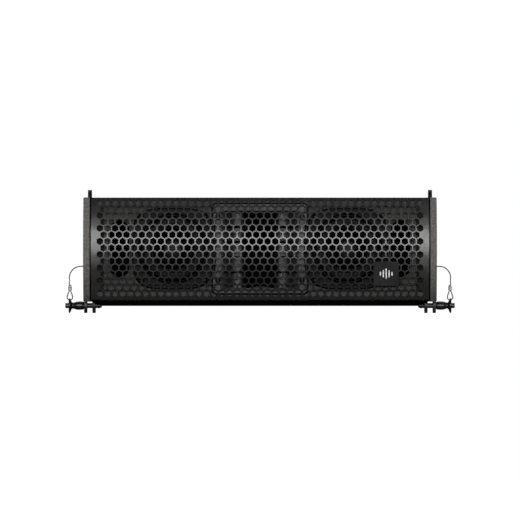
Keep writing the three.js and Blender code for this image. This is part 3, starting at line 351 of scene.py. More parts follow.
class Solid:
    """A mesh made of prisms, turned shapes and sheets, in millimetres."""

    def __init__(self):
        self.bm = bmesh.new()

    def loop(self, points):
        return [self.bm.verts.new(Vector(point) * MM) for point in points]

    def bridge(self, first, second, closed=True):
        count = len(first)
        for i in range(count if closed else count - 1):
            j = (i + 1) % count
            self.bm.faces.new((first[i], first[j], second[j], second[i]))

    def skin(self, rings, closed=False):
        """Joins each ring to the next, and the last to the first where closed."""
        for first, second in zip(rings, rings[1:]):
            self.bridge(first, second)
        if closed:
            self.bridge(rings[-1], rings[0])
        return self

    def prism(self, outline, low, high, place):
        """An outline of (across, up) points carried from low to high along the place's axis."""
        ends = [self.loop([place(u, v, along) for u, v in outline]) for along in (low, high)]
        self.bm.faces.new(list(reversed(ends[0])))
        self.bm.faces.new(ends[1])
        self.bridge(*ends)
        return self

    def frame(self, outer, inner, low, high, place):
        """A prism with a hole: outer and inner have as many points as each other."""
        return self.skin([
            self.loop([place(u, v, along) for u, v in outline])
            for outline, along in ((outer, low), (outer, high), (inner, high), (inner, low))
        ], closed=True)

    def turn(self, profile, place, segments=48, closed=False):
        """A profile of (radius, along) points turned about the place's axis."""
        return self.skin([
            self.loop([place(u, v, along) for u, v in circle(radius, segments)])
            for radius, along in profile
        ], closed)

    def tube(self, points, section):
        """A closed tube through points, whose section(i) gives (across, up) offsets at each."""
        rings = []
        tangent = (Vector(points[1]) - Vector(points[0])).normalized()
        side = tangent.orthogonal().normalized()
        for i, point in enumerate(points):
            after, before = points[min(i + 1, len(points) - 1)], points[max(i - 1, 0)]
            tangent = (Vector(after) - Vector(before)).normalized()
            side = (side - tangent * side.dot(tangent)).normalized()
            up = tangent.cross(side)
            rings.append(self.loop([Vector(point) + side * u + up * v for u, v in section(i)]))
        self.skin(rings)
        self.bm.faces.new(list(reversed(rings[0])))
        self.bm.faces.new(rings[-1])
        return self

    def copy_of(self, node):
        """The CAD node's own surface, with its triangles joined into whole faces."""
        self.bm.from_mesh(frame["nodes"][node].data)
        bmesh.ops.remove_doubles(self.bm, verts=self.bm.verts, dist=0.01 * MM)
        bmesh.ops.dissolve_limit(
            self.bm, angle_limit=math.radians(1), verts=self.bm.verts, edges=self.bm.edges
        )
        return self

    def soften(self, width, only=None, least=30, segments=2):
        """Rounds the sharp edges, or those that only() accepts."""
        bmesh.ops.remove_doubles(self.bm, verts=self.bm.verts, dist=0.002 * MM)
        bmesh.ops.recalc_face_normals(self.bm, faces=self.bm.faces)
        sharp = [
            edge for edge in self.bm.edges
            if len(edge.link_faces) == 2
            and edge.calc_face_angle() > math.radians(least)
            and (only is None or only(*[v.co / MM for v in edge.verts]))
        ]
        bmesh.ops.bevel(
            self.bm, geom=sharp, offset=width * MM, segments=segments, profile=0.5,
            affect="EDGES", clamp_overlap=True,
        )
        return self

    def finish(self, name, body, slot, replaces=(), finish=None, smooth=35, dark_beyond=None):
        """Makes the object. Faces deeper than dark_beyond take the shade of a deep opening."""
        bm = self.bm
        bmesh.ops.remove_doubles(bm, verts=bm.verts, dist=0.002 * MM)
        bmesh.ops.dissolve_degenerate(bm, edges=bm.edges, dist=0.001 * MM)
        bmesh.ops.recalc_face_normals(bm, faces=bm.faces)
        for face in bm.faces:
            face.smooth = True
        for edge in bm.edges:
            edge.smooth = len(edge.link_faces) == 2 and edge.calc_face_angle() < math.radians(smooth)
        mesh = bpy.data.meshes.new(name)
        bm.to_mesh(mesh)
        bm.free()
        mesh.materials.append(FINISHES[finish or slot])
        if dark_beyond is not None:
            mesh.materials.append(FINISHES["throat_shade"])
            for polygon in mesh.polygons:
                polygon.material_index = int(polygon.center.y > depth(dark_beyond) * MM)
        made = add_object(name, mesh)
        if body:
            made.modifiers.new("even_normals", "WEIGHTED_NORMAL").keep_sharp = True
        if replaces:
            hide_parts(*replaces)
        if body:
            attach(made, body)
        return made


def rounded_rectangle(width, height, radius, steps=6):
    outline = []
    for quarter, (sx, sz) in enumerate(((1, 1), (-1, 1), (-1, -1), (1, -1))):
        for i in range(steps + 1):
            angle = math.pi / 2 * (quarter + i / steps)
            outline.append((
                sx * (width / 2 - radius) + radius * math.cos(angle),
                sz * (height / 2 - radius) + radius * math.sin(angle),
            ))
    return outline


def circle(radius, count):
    """Points of (across, up) round a circle, or the corners of a regular polygon."""
    angles = [2 * math.pi * i / count for i in range(count)]
    return [(radius * math.cos(a), radius * math.sin(a)) for a in angles]


def four_corners(across, up, x=0.0, z=0.0):
    return [(x + u * across, z + v * up) for u in (-1, 1) for v in (-1, 1)]


def widened(outline, by):
    """The outline with each point moved out by a distance."""
    moved = []
    for i, (u, v) in enumerate(outline):
        (u0, v0), (u1, v1) = outline[i - 1], outline[(i + 1) % len(outline)]
        run, rise = u1 - u0, v1 - v0
        length = math.hypot(run, rise)
        moved.append((u + by * rise / length, v - by * run / length))
    return moved


def bulged_square(half, count=64):
    """The outline of a woofer frame: four bulging sides and round corners."""
    outline = []
    for i in range(count):
        angle = 2 * math.pi * i / count
        c, s = math.cos(angle), math.sin(angle)
        reach = half / (c**4 + s**4) ** 0.25
        outline.append((reach * c, reach * s))
    return outline


def screws(name, body, places, head, height, recess):
    """Pan-head screws with a round recess, each given by its place function and its seat."""
    solid = Solid()
    for place, seat in places:
        rim = [(head, 0), (head, 0.45 * height), (0.86 * head, 0.82 * height), (0.6 * head, height)]
        key = [(recess, height), (recess * 0.94, 0.35 * height)]
        rings = [solid.loop([place(u, v, seat + rise) for u, v in circle(radius, 18)])
                 for radius, rise in rim + key]
        solid.skin(rings)
        solid.bm.faces.new(rings[-1])
        solid.bm.faces.new(rings[0])
    solid.finish(name, body, "black_steel", finish="screw_black")


def sunk_screws(name, body, places, face, radius, head):
    """Screws in counterbores: a dark ring round each small domed head."""
    bore = [(head + 0.1, face + 0.3), (head + 0.1, face + 0.05), (radius - 0.3, face), (radius, face + 0.3)]
    dome = [(0.01, face - 0.5), (0.6 * head, face - 0.45), (0.9 * head, face - 0.2), (head, face + 0.2)]
    solid = Solid()
    for x, z in places:
        solid.turn(bore, facing(x, z), 24, closed=True)
    for x, z in places:
        solid.turn(dome, facing(x, z), 20)
    made = solid.finish(name, body, "black_steel", finish="throat_shade")

    def on_head(middle, normal):
        return min(math.hypot(middle.x - x, middle.z - z) for x, z in places) < head

    other_finish(made, "moulded_plastic", on_head)


def other_finish(made, finish, chosen):
    """Gives the faces that chosen(middle in mm, normal) accepts another finish."""
    made.data.materials.append(FINISHES[finish])
    index = len(made.data.materials) - 1
    for polygon in made.data.polygons:
        if chosen(polygon.center / MM, polygon.normal):
            polygon.material_index = index


# ---------------- grille
def perforated_grille():
    """A bowed steel sheet with hexagonal holes, drawn flat in (x, arc) and wrapped on the bow."""
    pitch, rows = PERFORATION["pitch"], PERFORATION["rows"]
    cell, hole = pitch / math.sqrt(3), PERFORATION["across"] / math.sqrt(3)
    step = 1.5 * cell
    half_arc = FACE_RADIUS * math.asin((GRILLE["high"] - GRILLE["low"]) / 2 / FACE_RADIUS)
    lift = PERFORATION["middle"] - GRILLE_MID
    bow_centre = depth(GRILLE["set_back"] + FACE_RADIUS)

    def on_bow(x, arc, sunk):
        angle = arc / FACE_RADIUS
        reach = FACE_RADIUS - sunk
        return (x, bow_centre - reach * math.cos(angle), GRILLE_MID + reach * math.sin(angle))

    in_row = PERFORATION["in_row"]
    centres = [
        ((i + row % 2 / 2 - (in_row - 1) / 2) * pitch, lift + ((rows - 1) / 2 - row) * step)
        for row in range(rows) for i in range(in_row - row % 2)
    ]

    points, index, faces, uses = [], {}, [], {}

    def vertex(x, arc):
        key = (round(x, 2), round(arc, 2))
        if key not in index:
            index[key] = len(points)
            points.append((x, arc))
        return index[key]

    def hexagon(centre, radius):
        return [
            (centre[0] + radius * math.cos(math.radians(30 + 60 * i)),
             centre[1] + radius * math.sin(math.radians(30 + 60 * i)))
            for i in range(6)
        ]

    holes = []
    for centre in centres:
        outer = [vertex(*p) for p in hexagon(centre, cell)]
        inner = [vertex(*p) for p in hexagon(centre, hole + PERFORATION["chamfer"])]
        holes.append((inner, hexagon(centre, hole)))
        for i in range(6):
            j = (i + 1) % 6
            faces.append((outer[i], outer[j], inner[j], inner[i]))
            edge = tuple(sorted((outer[i], outer[j])))
            uses[edge] = uses.get(edge, 0) + 1

    # the plain margin between the outermost cells and the sheet's edge
    border = [edge for edge, count in uses.items() if count == 1]
    ring = sorted({v for edge in border for v in edge})
    local = {v: i for i, v in enumerate(ring)}
    flat = [points[v] for v in ring]
    wide = GRILLE["half_width"]
    sides = [(-wide, -half_arc), (wide, -half_arc), (wide, half_arc), (-wide, half_arc)]
    rim = []
    for (x0, s0), (x1, s1) in zip(sides, sides[1:] + sides[:1]):
        pieces = max(2, round(math.hypot(x1 - x0, s1 - s0) / 4))
        for i in range(pieces):
            rim.append((x0 + (x1 - x0) * i / pieces, s0 + (s1 - s0) * i / pieces))
    start = len(flat)
    links = [(start + i, start + (i + 1) % len(rim)) for i in range(len(rim))]
    links += [(local[a], local[b]) for a, b in border]
    verts, _, found, _, _, _ = delaunay_2d_cdt([Vector(p) for p in flat + rim], links, [], 0, 1e-4)

    def in_cells(x, arc):
        for cx, ca in centres:
            dx, da = abs(x - cx), abs(arc - ca)
            if dx < cell and da < cell and max(dx, dx / 2 + da * math.sqrt(3) / 2) < pitch / 2 + 1e-3:
                return True
        return False

    for face in found:
        middle = sum((verts[v] for v in face), Vector((0, 0))) / len(face)
        if not in_cells(*middle):
            faces.append([vertex(*verts[v]) for v in face])

    solid = Solid()
    front = solid.loop([on_bow(x, s, 0) for x, s in points])
    back = solid.loop([on_bow(x, s, GRILLE["sheet"]) for x, s in points])
    for face in faces:
        solid.bm.faces.new([front[v] for v in face])
    for inner, rim_points in holes:
        edge = solid.loop([on_bow(x, s, PERFORATION["chamfer"]) for x, s in rim_points])
        solid.bridge([front[v] for v in inner], edge)
        solid.bridge(edge, [back[v] for v in inner])
    for face in faces:
        solid.bm.faces.new([back[v] for v in reversed(face)])
    bmesh.ops.recalc_face_normals(solid.bm, faces=solid.bm.faces)
    open_edges = [e for e in solid.bm.edges if len(e.link_faces) == 1]
    pair = dict(zip(front, back))
    for edge in open_edges:
        a, b = edge.verts
        if a in pair and b in pair:
            solid.bm.faces.new((a, b, pair[b], pair[a]))
    solid.finish("grille_sheet", "cabinet", "grille_steel", ["front_grille"])


def badge():
    """A plain bevelled plate with a raised rim and five bars of a level meter."""
    below = GRILLE_MID - BADGE["z"]
    lean = math.asin(below / FACE_RADIUS)
    face = depth(GRILLE["set_back"] + arc_back(below) - 0.3)

    def place(across, up, out):
        c, s = math.cos(lean), math.sin(lean)
        return (BADGE["x"] + across, face - up * s - out * c, BADGE["z"] + up * c - out * s)

    width, height = BADGE["width"], BADGE["height"]
    plate = Solid()
    outline = rounded_rectangle(width, height, 1.5)
    plate.prism(outline, 0, 0.55, place).soften(0.18, least=60)
    plate.frame(outline, rounded_rectangle(width - 1.6, height - 1.6, 0.9), 0.3, 0.85, place)
    plate.finish("badge", "cabinet", "badge_plastic", ["badge_plate"])
    marks = Solid()
    for i, tall in enumerate((5, 9, 13, 9, 5)):
        bar = [(u + (i - 2) * 3.6, v) for u, v in rounded_rectangle(1.5, tall, 0.7, 4)]
        marks.prism(bar, 0.4, 0.72, place)
    marks.finish("badge_bars", "cabinet", "badge_plastic", finish="badge_mark")


# ---------------- cabinet
def eased(node, name, width, body="cabinet", slot="textured_paint", finish=None, only=None, segments=2):
    """The CAD node's own shape with its edges, or those that only() accepts, rounded."""
    solid = Solid().copy_of(node).soften(width, only, least=60, segments=segments)
    return solid.finish(name, body, slot, [node], finish)


def cabinet():
    """The box's outside edges are rounded and the glued ones stay sharp."""
    def outside_edge(a, b):
        return min(abs(a.x), abs(b.x)) > CABINET["outside"]

    def rear_edge(a, b):
        return min(a.y, b.y) > CABINET["rear_edge"]

    def opening_edge(a, b):
        return rear_edge(a, b) and min(abs(a.z - MID_Z), abs(b.z - MID_Z)) < CABINET["opening"]

    def front_end(middle, normal):
        return middle.y < depth(BAFFLE_FRONT + 0.5)

    def bulge(middle, normal):
        return middle.y < depth(BAFFLE_FRONT - 1) and normal.y < -0.5

    def step_behind_grille(middle, normal):
        return middle.y > depth(BAFFLE_FRONT - 1) and normal.y < -0.5

    for end in ("left", "right"):
        made = eased(f"side_panel_{end}", f"cheek_{end}", 1.6, only=outside_edge, segments=3)
        # the cheek's front takes the paint with painted shade low down; its step behind the grille takes
        # painted shadow
        other_finish(made, "cheek_edge", bulge)
        other_finish(made, "shadow_black", step_behind_grille)
    # the front ends of lid and floor panel take darker copies of the paint, as painted shade behind the
    # grille
    for node, name, edge in (
        ("top_panel", "lid", "shaded_lid_edge"),
        ("bottom_panel", "floor_panel", "shaded_baffle_paint"),
    ):
        other_finish(eased(node, name, 1.2, only=rear_edge), edge, front_end)
    for end, side in (("left", -1), ("right", 1)):
        # foam strip that the grille's end rests on
        strip = Solid()
        outline = rounded_rectangle(FOAM["width"], FOAM["height"], 1, 3)
        strip.prism(outline, FOAM["front"], FOAM["back"], facing(side * FOAM["x"], MID_Z))
        strip.soften(0.5, least=60)
        strip.finish(f"grille_foam_{end}", "cabinet", "surround_rubber", finish="foam")
    # the opening behind the horn is cut wider and lower, for the flare
    board = Solid().copy_of("baffle")
    for vert in board.bm.verts:
        x, z = vert.co.x / MM, vert.co.z / MM
        if abs(x) < HORN_OPENING["half_width"] and abs(z - DRIVER_Z) < HORN_OPENING["half_height"]:
            vert.co.x += math.copysign(HORN_OPENING["wider"], x) * MM
            vert.co.z -= HORN_OPENING["lower"] * MM if z < DRIVER_Z else 0
    # the baffle takes the darker copy of the paint, as painted shade behind the grille
    board.finish("baffle_board", "cabinet", "textured_paint", ["baffle"], finish="shaded_baffle_paint")
    made = eased("rear_panel", "rear_board", 1.0, only=opening_edge)
    # its inside takes the near-black lining, which is partly painted shade
    other_finish(made, "lining_and_shade", lambda middle, normal: normal.y < -0.5)


# ---------------- woofers and ports
# Profiles are (radius, depth) points, and FRAME_EDGE has half the bulged square's width for radius.
FRAME_EDGE = [(WOOFER_FRAME, 15.9), (WOOFER_FRAME, 13.9), (WOOFER_FRAME - 0.7, 13.1)]
FRAME_DISH = [
    (44.3, 13.1), (43.6, 14.2), (42.2, 14.2), (41.9, 13.1), (41.2, 13.1), (41.0, 14.6), (37, 14.8),
    (37, 17.2), (42.6, 17.4), (42.8, 33), (36.5, 45), (34, 57), (18, 57), (18, 60), (38.5, 60),
    (38.5, 52), (45, 34), (46, 15.9),
]
# level is the depth of the roll's feet, and blend_from a depth on its inner part, between crest and feet
ROLL = {"middle": 33.3, "half": 5.8, "high": 4.4, "level": 13.6, "sheet": 0.6, "blend_from": 10.4}
ROLL_OUTER_LIP = [(39.8, 13.8), (40.5, 14.1), (40.5, 14.5), (39.4, 14.5)]
ROLL_INNER_LIP = [(26.2, 14.3), (26.2, 13.9), (27.3, 13.7)]
# radii of two near-black rings that paint the shadow in the frame's grooves
SHADOW_RINGS = ((39.1, 41.0), (42.1, 44.1))
CONE = [
    (13.3, 31), (16.5, 27.9), (20, 24.2), (22.6, 20.8), (24.6, 17.4), (25.6, 15.2), (26.3, 14.5),
    (28.6, 14.5), (28.6, 14.9), (26.6, 15.2), (25.0, 17.8), (23, 21.4), (20.4, 25), (13.3, 31.8),
]
DUST_CAP = [
    (0.01, 21.0), (3, 21.1), (6, 21.35), (8.5, 21.75), (10.4, 22.3), (12, 23.2), (13.2, 24.6),
    (14.2, 27), (14.6, 28.8), (13.8, 28.8), (11, 23.8), (6, 22.4), (0.01, 21.9),
]


def roll_arc(half, level, high, steps):
    """Half a wave of the surround, from its inner foot over the crest to its outer foot."""
    angles = [math.pi * i / steps for i in range(steps + 1)]
    return [(ROLL["middle"] - half * math.cos(a), level - high * math.sin(a)) for a in angles]


def woofer(end, side):
    """Pressed frame with bulging sides, rubber roll, coated cone and a dust cap."""
    place = facing(side * WOOFER_X, DRIVER_Z)
    pressed = Solid()
    count = 64
    rings = [pressed.loop([place(u, v, along) for u, v in bulged_square(half, count)])
             for half, along in FRAME_EDGE]
    rings += [pressed.loop([place(u, v, along) for u, v in circle(radius, count)])
              for radius, along in FRAME_DISH]
    pressed.skin(rings, closed=True)
    pressed.finish(f"frame_{end}", "cabinet", "basket_steel", [f"woofer_basket_{end}"])

    # the roll is two pieces that meet on its crest; the outer one stays with the cabinet
    body = f"woofer_moving_{end}"
    half, level, sheet = ROLL["half"], ROLL["level"], ROLL["sheet"]
    over = roll_arc(half, level, ROLL["high"], 12)
    under = roll_arc(half - sheet, level + sheet, ROLL["high"] - sheet, 8)
    roll = Solid()
    roll.turn([*over[6:], *ROLL_OUTER_LIP, *reversed(under[4:])], place, 72, closed=True)
    roll.finish(f"surround_{end}", "cabinet", "surround_rubber", [f"woofer_surround_{end}"])
    inner_roll = Solid()
    inner_roll.turn([*ROLL_INNER_LIP[1:], *over[:7], *reversed(under[:5]), ROLL_INNER_LIP[0]],
                    place, 72, closed=True)
    made = inner_roll.finish(f"surround_inner_{end}", None, "surround_rubber")
    Vector(place(0, 0, ROLL["blend_from"])) * MM
    Vector(place(0, 0, level)) * MM
    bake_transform(made)
    # painted shadow: two near-black rings in the frame's grooves and a near-black band round the frame's
    # edge
    shadow_ring = Solid()
    for inner, outer in SHADOW_RINGS:
        shadow_ring.turn([(inner, 13.0), (inner, 13.9), (outer, 13.9), (outer, 13.0)], place, 72, closed=True)
    shadow_ring.frame(bulged_square(WOOFER_FRAME + 1.0), bulged_square(WOOFER_FRAME - 0.6), 15.3, 15.9, place)
    shadow_ring.finish(f"gasket_{end}", "cabinet", "surround_rubber", finish="shadow_black")

    cone = Solid().turn(CONE, place, 72, closed=True)
    cone.finish(f"cone_{end}", body, "cone_paper", [f"woofer_cone_{end}"])
    cap = Solid().turn(DUST_CAP, place, 48)
    cap.finish(f"dust_cap_{end}", body, "cone_paper", [f"woofer_dust_cap_{end}"], finish="dust_cap")

    corners = four_corners(FRAME_SCREW, FRAME_SCREW, side * WOOFER_X, DRIVER_Z)
    sunk_screws(f"frame_screws_{end}", "cabinet", corners, face=12.9, radius=4.0, head=1.5)


def port(end, side):
    """A moulded duct with a rounded mouth."""
    place = facing(side * PORT["x"], DRIVER_Z)
    inner_end = BAFFLE_FRONT + PORT["length"]
    # (how much wider than the duct's bore, depth)
    steps = [(2.0, 16.6), (2.0, 15.9), (1.6, 15.6), (0.9, 15.7), (0.3, 16.4), (0.0, 17.8),
             (0.0, inner_end), (1.9, inner_end), (1.9, 16.6)]
    duct = Solid()
    duct.skin([
        duct.loop([place(u, v, along) for u, v in rounded_rectangle(
            PORT["width"] + 2 * grow, PORT["height"] + 2 * grow, PORT["width"] / 2 + grow, 10)])
        for grow, along in steps
    ])
    duct.finish(f"port_{end}", "cabinet", "moulded_plastic", [f"port_duct_{end}"], dark_beyond=19)


# ---------------- horn
# Half of the flare's section across the mouth, as (distance from the middle, depth): the lip, a
# valley, a ridge, and the throat that narrows towards the driver.
FLARE = [
    (47.6, 13.4), (46.4, 13.8), (44.6, 14.7), (42.6, 16.1), (40.8, 18.2), (39.2, 20.8), (37.9, 22.4),
    (37.2, 21.9), (36.4, 20.2), (35.4, 18.8), (34.2, 17.9), (32.8, 17.3), (30.8, 16.7), (28.4, 16.4),
    (25.4, 16.4), (23.2, 16.8), (21.8, 17.7), (21, 19.3), (20.4, 21.5), (20, 25), (19.2, 30),
    (17, 40), (13, 52), (8, 64), (2, 72),
]
LIP_DEPTH = FLARE[0][1]
OUTER_FACE = {"back": 13.5, "from_middle": 27}  # the plate's face above and below the middle
GROOVE = {"levels": (-28, -9.33, 9.33, 28), "deep": 2.6, "wide": 0.95, "foot": 1.3, "from": 20, "to": 45}


def horn_outline():
    """The plate's outline, relieved round the woofer frames, from the right side round."""
    half_width, half_height, corner, steps = HORN["width"] / 2, HORN["height"] / 2, 5, 40

    def edge(z):
        if abs(z) >= HORN["relief"]:
            return half_width
        return min(half_width, WOOFER_X - (HORN["relief"]**4 - z**4) ** 0.25)

    levels = [i / steps * (half_height - corner) for i in range(steps + 1)]
    quarter = [(edge(z), z) for z in levels]
    for i in range(1, 7):
        angle = math.pi / 2 * i / 6
        quarter.append((half_width - corner + corner * math.cos(angle),
                        half_height - corner + corner * math.sin(angle)))
    return [
        *quarter,
        *[(-x, z) for x, z in reversed(quarter)],
        *[(-x, -z) for x, z in quarter[1:]],
        *[(x, -z) for x, z in reversed(quarter)][:-1],
    ]


def horn():
    """A moulded plate round a flared mouth: a valley and a ridge on each side of the narrow throat."""
    front, back, mouth = HORN["front"], HORN["back"], HORN["mouth"]
    tall, mouth_z = (MOUTH_HIGH - MOUTH_LOW) / 2, (MOUTH_HIGH + MOUTH_LOW) / 2 - DRIVER_Z
    place = facing(0, DRIVER_Z)
    outline = horn_outline()
    # painted shadow: a near-black band round the plate's edge, where it stands off the baffle
    shadow_ring = Solid()
    shadow_ring.frame(widened(outline, 1.6), widened(outline, -0.6), 15.2, 15.85, place)
    shadow_ring.finish("horn_shadow_ring", "cabinet", "surround_rubber", finish="throat_shade")
    plate = Solid()
    hole = []
    for x, z in outline:
        scale = min(mouth / max(abs(x), 1e-6), tall / max(abs(z), 1e-6))
        hole.append((x * scale, z * scale + mouth_z))
    plate.frame(outline, hole, front, back, place)
    plate.soften(0.7, least=60, segments=3)

    xs = [(-x, d) for x, d in FLARE] + [(x, d) for x, d in reversed(FLARE)]
    grooves = [level - (DRIVER_Z - MID_Z) - mouth_z for level in GROOVE["levels"]]

    def from_groove(z):
        return min(abs(z - g) for g in grooves)

    zs = {round(-tall + 2 * tall * i / 36, 3) for i in range(37)}
    zs |= {round(side * (tall - off), 3) for side in (-1, 1) for off in (0, 0.4, 1, 1.8, 3)}
    zs = {z for z in zs if from_groove(z) > 1.5}
    wide, foot = GROOVE["wide"], GROOVE["foot"]
    zs |= {round(g + off, 3) for g in grooves for off in (-foot, -wide, wide, foot)}
    rows = []
    for z in sorted(zs):
        ease = math.sin(min(1.0, (tall - abs(z)) / 1.6) * math.pi / 2)
        cut = GROOVE["deep"] if from_groove(z) < 1 else 0
        row = []
        for x, d in xs:
            sunk = cut if GROOVE["from"] < abs(x) < GROOVE["to"] else 0
            row.append(place(x, z + mouth_z, LIP_DEPTH + (d - LIP_DEPTH) * ease + sunk))
        rows.append(plate.loop(row))
    for first, second in zip(rows, rows[1:]):
        plate.bridge(first, second, closed=False)
    made = plate.finish("horn_flare", "cabinet", "horn_plastic", ["horn_waveguide"], smooth=50,
                        dark_beyond=24.5)

    def outer_face(middle, normal):
        return middle.y < depth(OUTER_FACE["back"]) and abs(middle.z - MID_Z) > OUTER_FACE["from_middle"]

    def in_groove(middle, normal):
        return middle.y > depth(BAFFLE_FRONT) and from_groove(middle.z - DRIVER_Z - mouth_z) < 1.2

    # the plate's face above and below the mouth takes a darker copy, as painted shade
    other_finish(made, "horn_outer_shaded", outer_face)
    other_finish(made, "throat_shade", in_groove)
    corners = four_corners(*HORN_SCREW, z=DRIVER_Z)
    sunk_screws("horn_screws", "cabinet", corners, face=front - 0.3, radius=3.6, head=1.5)


perforated_grille()
badge()
cabinet()
horn()
for end_name, end_side in (("left", -1), ("right", 1)):
    woofer(end_name, end_side)
    port(end_name, end_side)


# ---------------- rigging
RIG_PLATE = {"face": 219.4, "front": 28.5, "back": 61.5, "levels": (37, 111, 74)}
BRACKET = {"face": 221.1, "screw_x": 24, "levels": (42, 60, 97, 115)}
# the pivot bolt's shank as (radius, along), and its head and nut as (from, to, size)
PIVOT_SHANK = [(0.01, -12.6), (2.6, -12.6), (3, -12.2), (3, 10.2), (2.6, 10.9), (0.01, 10.9)]
PIVOT_NUTS = ((-11.4, -7.5, 5.35), (7.5, 9.9, 5.3))


def rigging():
    """Steel parts with broken edges, and the screws that hold them."""
    front, back = depth(RIG_PLATE["front"]), depth(RIG_PLATE["back"])
    low, high, middle_level = RIG_PLATE["levels"]
    for end, side in (("left", -1), ("right", 1)):
        eased(f"front_rig_plate_{end}", f"rig_plate_{end}", 0.5, slot="black_steel")
        eased(f"top_link_{end}", f"link_{end}", 0.5, slot="black_steel", finish="link_steel")
        at = [(outward(0, y, z, side), RIG_PLATE["face"])
              for y, z in ((front, low), (back, low), (front, high), (back, high),
                           (back, middle_level), (front, middle_level))]
        screws(f"rig_plate_screws_{end}", "cabinet", at, head=3.4, height=0.55, recess=1.6)
    made = eased("lower_rig_bar", "rig_bar", 0.5, slot="black_steel")
    # the bar's faces in front of the baffle take painted shadow
    other_finish(made, "shadow_black", lambda middle, normal: middle.y < depth(BAFFLE_FRONT))
    eased("rear_rig_bracket", "bracket", 0.6, slot="black_steel")
    at = [(facing(x, z), BRACKET["face"])
          for x in (-BRACKET["screw_x"], BRACKET["screw_x"]) for z in BRACKET["levels"]]
    screws("bracket_screws", "cabinet", at, head=4.2, height=2.2, recess=2.0)
    eased("splay_arm", "arm", 0.5, "splay_arm", "zinc_steel")

    place = outward(0, REAR_PIN[1], ARM_PIVOT_Z)
    bolt = Solid().turn(PIVOT_SHANK, place, 32)
    for low, high, size in PIVOT_NUTS:
        bolt.frame(circle(size, 6), circle(3.05, 6), low, high, place)
    bolt.soften(0.25, least=50)
    bolt.finish("pivot_bolt", "cabinet", "zinc_steel", ["splay_pivot_bolt"])


# ---------------- inputs
SOCKET = {"width": 26, "height": 31, "bore": 11.9, "deep": 20.8, "plate": 1.9, "screw": (9.6, 12.4)}
SOCKET_KEY = {"inner": 9.7, "outer": 10.7, "half_angle": 0.16, "turn": 0.35}
BLADE = [(4.7, -0.9), (5.75, -0.9), (5.75, 0.9), (4.7, 0.9)]


def socket(name, x):
    """A four-pole locking socket: flange, shell with keys, core and contacts."""
    place = facing(x, MID_Z)
    base = INPUT["face"] + 0.2
    floor, top = base - SOCKET["deep"], base + SOCKET["plate"]
    body = Solid()
    outer = rounded_rectangle(SOCKET["width"], SOCKET["height"], 3, 8)
    inner = [(u * SOCKET["bore"] / math.hypot(u, v), v * SOCKET["bore"] / math.hypot(u, v))
             for u, v in outer]
    body.frame(outer, inner, base, top, place).soften(0.4, least=60)
    # shell with a rounded lip, and a floor behind the plug
    body.turn([(12.4, base), (12.4, base + 2.0), (12.0, base + 2.6), (11.2, base + 2.6),
               (10.7, base + 2.1), (10.6, floor), (0.01, floor)], place, 48)
    body.turn([(5.4, floor), (5.4, base - 2.2), (4.8, base - 1.4), (0.01, base - 1.4)], place, 40)
    # the two keys that the plug's shell slides past
    near, far, spread = SOCKET_KEY["inner"], SOCKET_KEY["outer"], SOCKET_KEY["half_angle"]
    for turn in (SOCKET_KEY["turn"], SOCKET_KEY["turn"] + math.pi):
        corners = ((far, -spread), (far, spread), (near, spread), (near, -spread))
        key = [(r * math.cos(turn + a), r * math.sin(turn + a)) for r, a in corners]
        body.prism(key, base - 18, base + 1.6, place)
    body.finish(f"socket_{name}_moulding", "cabinet", "socket_plastic", [f"socket_{name}"])
    contacts = Solid()
    for i in range(4):
        turn = math.pi / 4 + i * math.pi / 2
        c, s = math.cos(turn), math.sin(turn)
        contacts.prism([(u * c - v * s, u * s + v * c) for u, v in BLADE], base - 16, base - 3, place)
    contacts.soften(0.15, least=60)
    contacts.finish(f"socket_{name}_contacts", "cabinet", "zinc_steel")
    across, up = SOCKET["screw"]
    at = [(facing(x + u * across, MID_Z + v * up), top) for u, v in ((-1, 1), (1, -1))]
    screws(f"socket_{name}_screws", "cabinet", at, head=2.5, height=0.5, recess=1.1)


def inputs():
    """A steel plate with two sockets."""
    eased("input_plate", "input_panel", 0.4, slot="black_steel")
    at = [(facing(*corner), INPUT["face"]) for corner in four_corners(*INPUT["screw"], INPUT["x"], MID_Z)]
    screws("input_screws", "cabinet", at, head=3.6, height=2.0, recess=1.7)
    for name, side in (("in", -1), ("link", 1)):
        socket(name, INPUT["x"] + side * INPUT["sockets_apart"] / 2)


# ---------------- quick-release pins and lanyards
# Measured from the middle of the joint that the pin locks, with the pin's handle towards +X.
FERRULE = {"x": 24.9, "low": 18.9, "high": 24.2, "spacing": 1.6}
# the sleeve's crimped outside and its bore, as (radius, height above its low end)
CRIMPED = [
    (1.18, 0), (1.38, 0.35), (1.4, 1.2), (1.25, 1.5), (1.25, 1.9), (1.4, 2.3), (1.4, 3.1), (1.25, 3.4),
    (1.4, 3.8), (1.38, 4.95), (1.18, 5.3), (0.85, 5.3), (0.85, 0),
]
WIRE_RADIUS = 0.75
WIRE_GROOVE = 0.16  # between neighbouring strands
WIRE_LAY = 0.22  # turn of the strands from one sample of the route to the next
MAIN_X = FERRULE["x"] + FERRULE["spacing"] / 2
TAIL_X = FERRULE["x"] - FERRULE["spacing"] / 2
EYE_X = 25.05  # the hole in the pin's flange
LOOP_ROUTE = [
    (MAIN_X, 0, 25.2), (MAIN_X, 0, 22), (MAIN_X, 0, 18.8), (EYE_X + 1.7, 0, 16), (EYE_X + 2.8, 0, 13.2),
    (EYE_X + 3.4, 0, 10.6), (EYE_X + 3, 0, 8.7), (EYE_X + 1.6, 0, 7.4), (EYE_X, 0, 7),
    (EYE_X - 1.6, 0, 7.4), (EYE_X - 3, 0, 8.7), (EYE_X - 3.4, 0, 10.6), (EYE_X - 2.8, 0, 13.2),
    (EYE_X - 1.9, 0, 16), (TAIL_X, 0, 18.8), (TAIL_X, 0, 22), (TAIL_X, 0, 26),
]
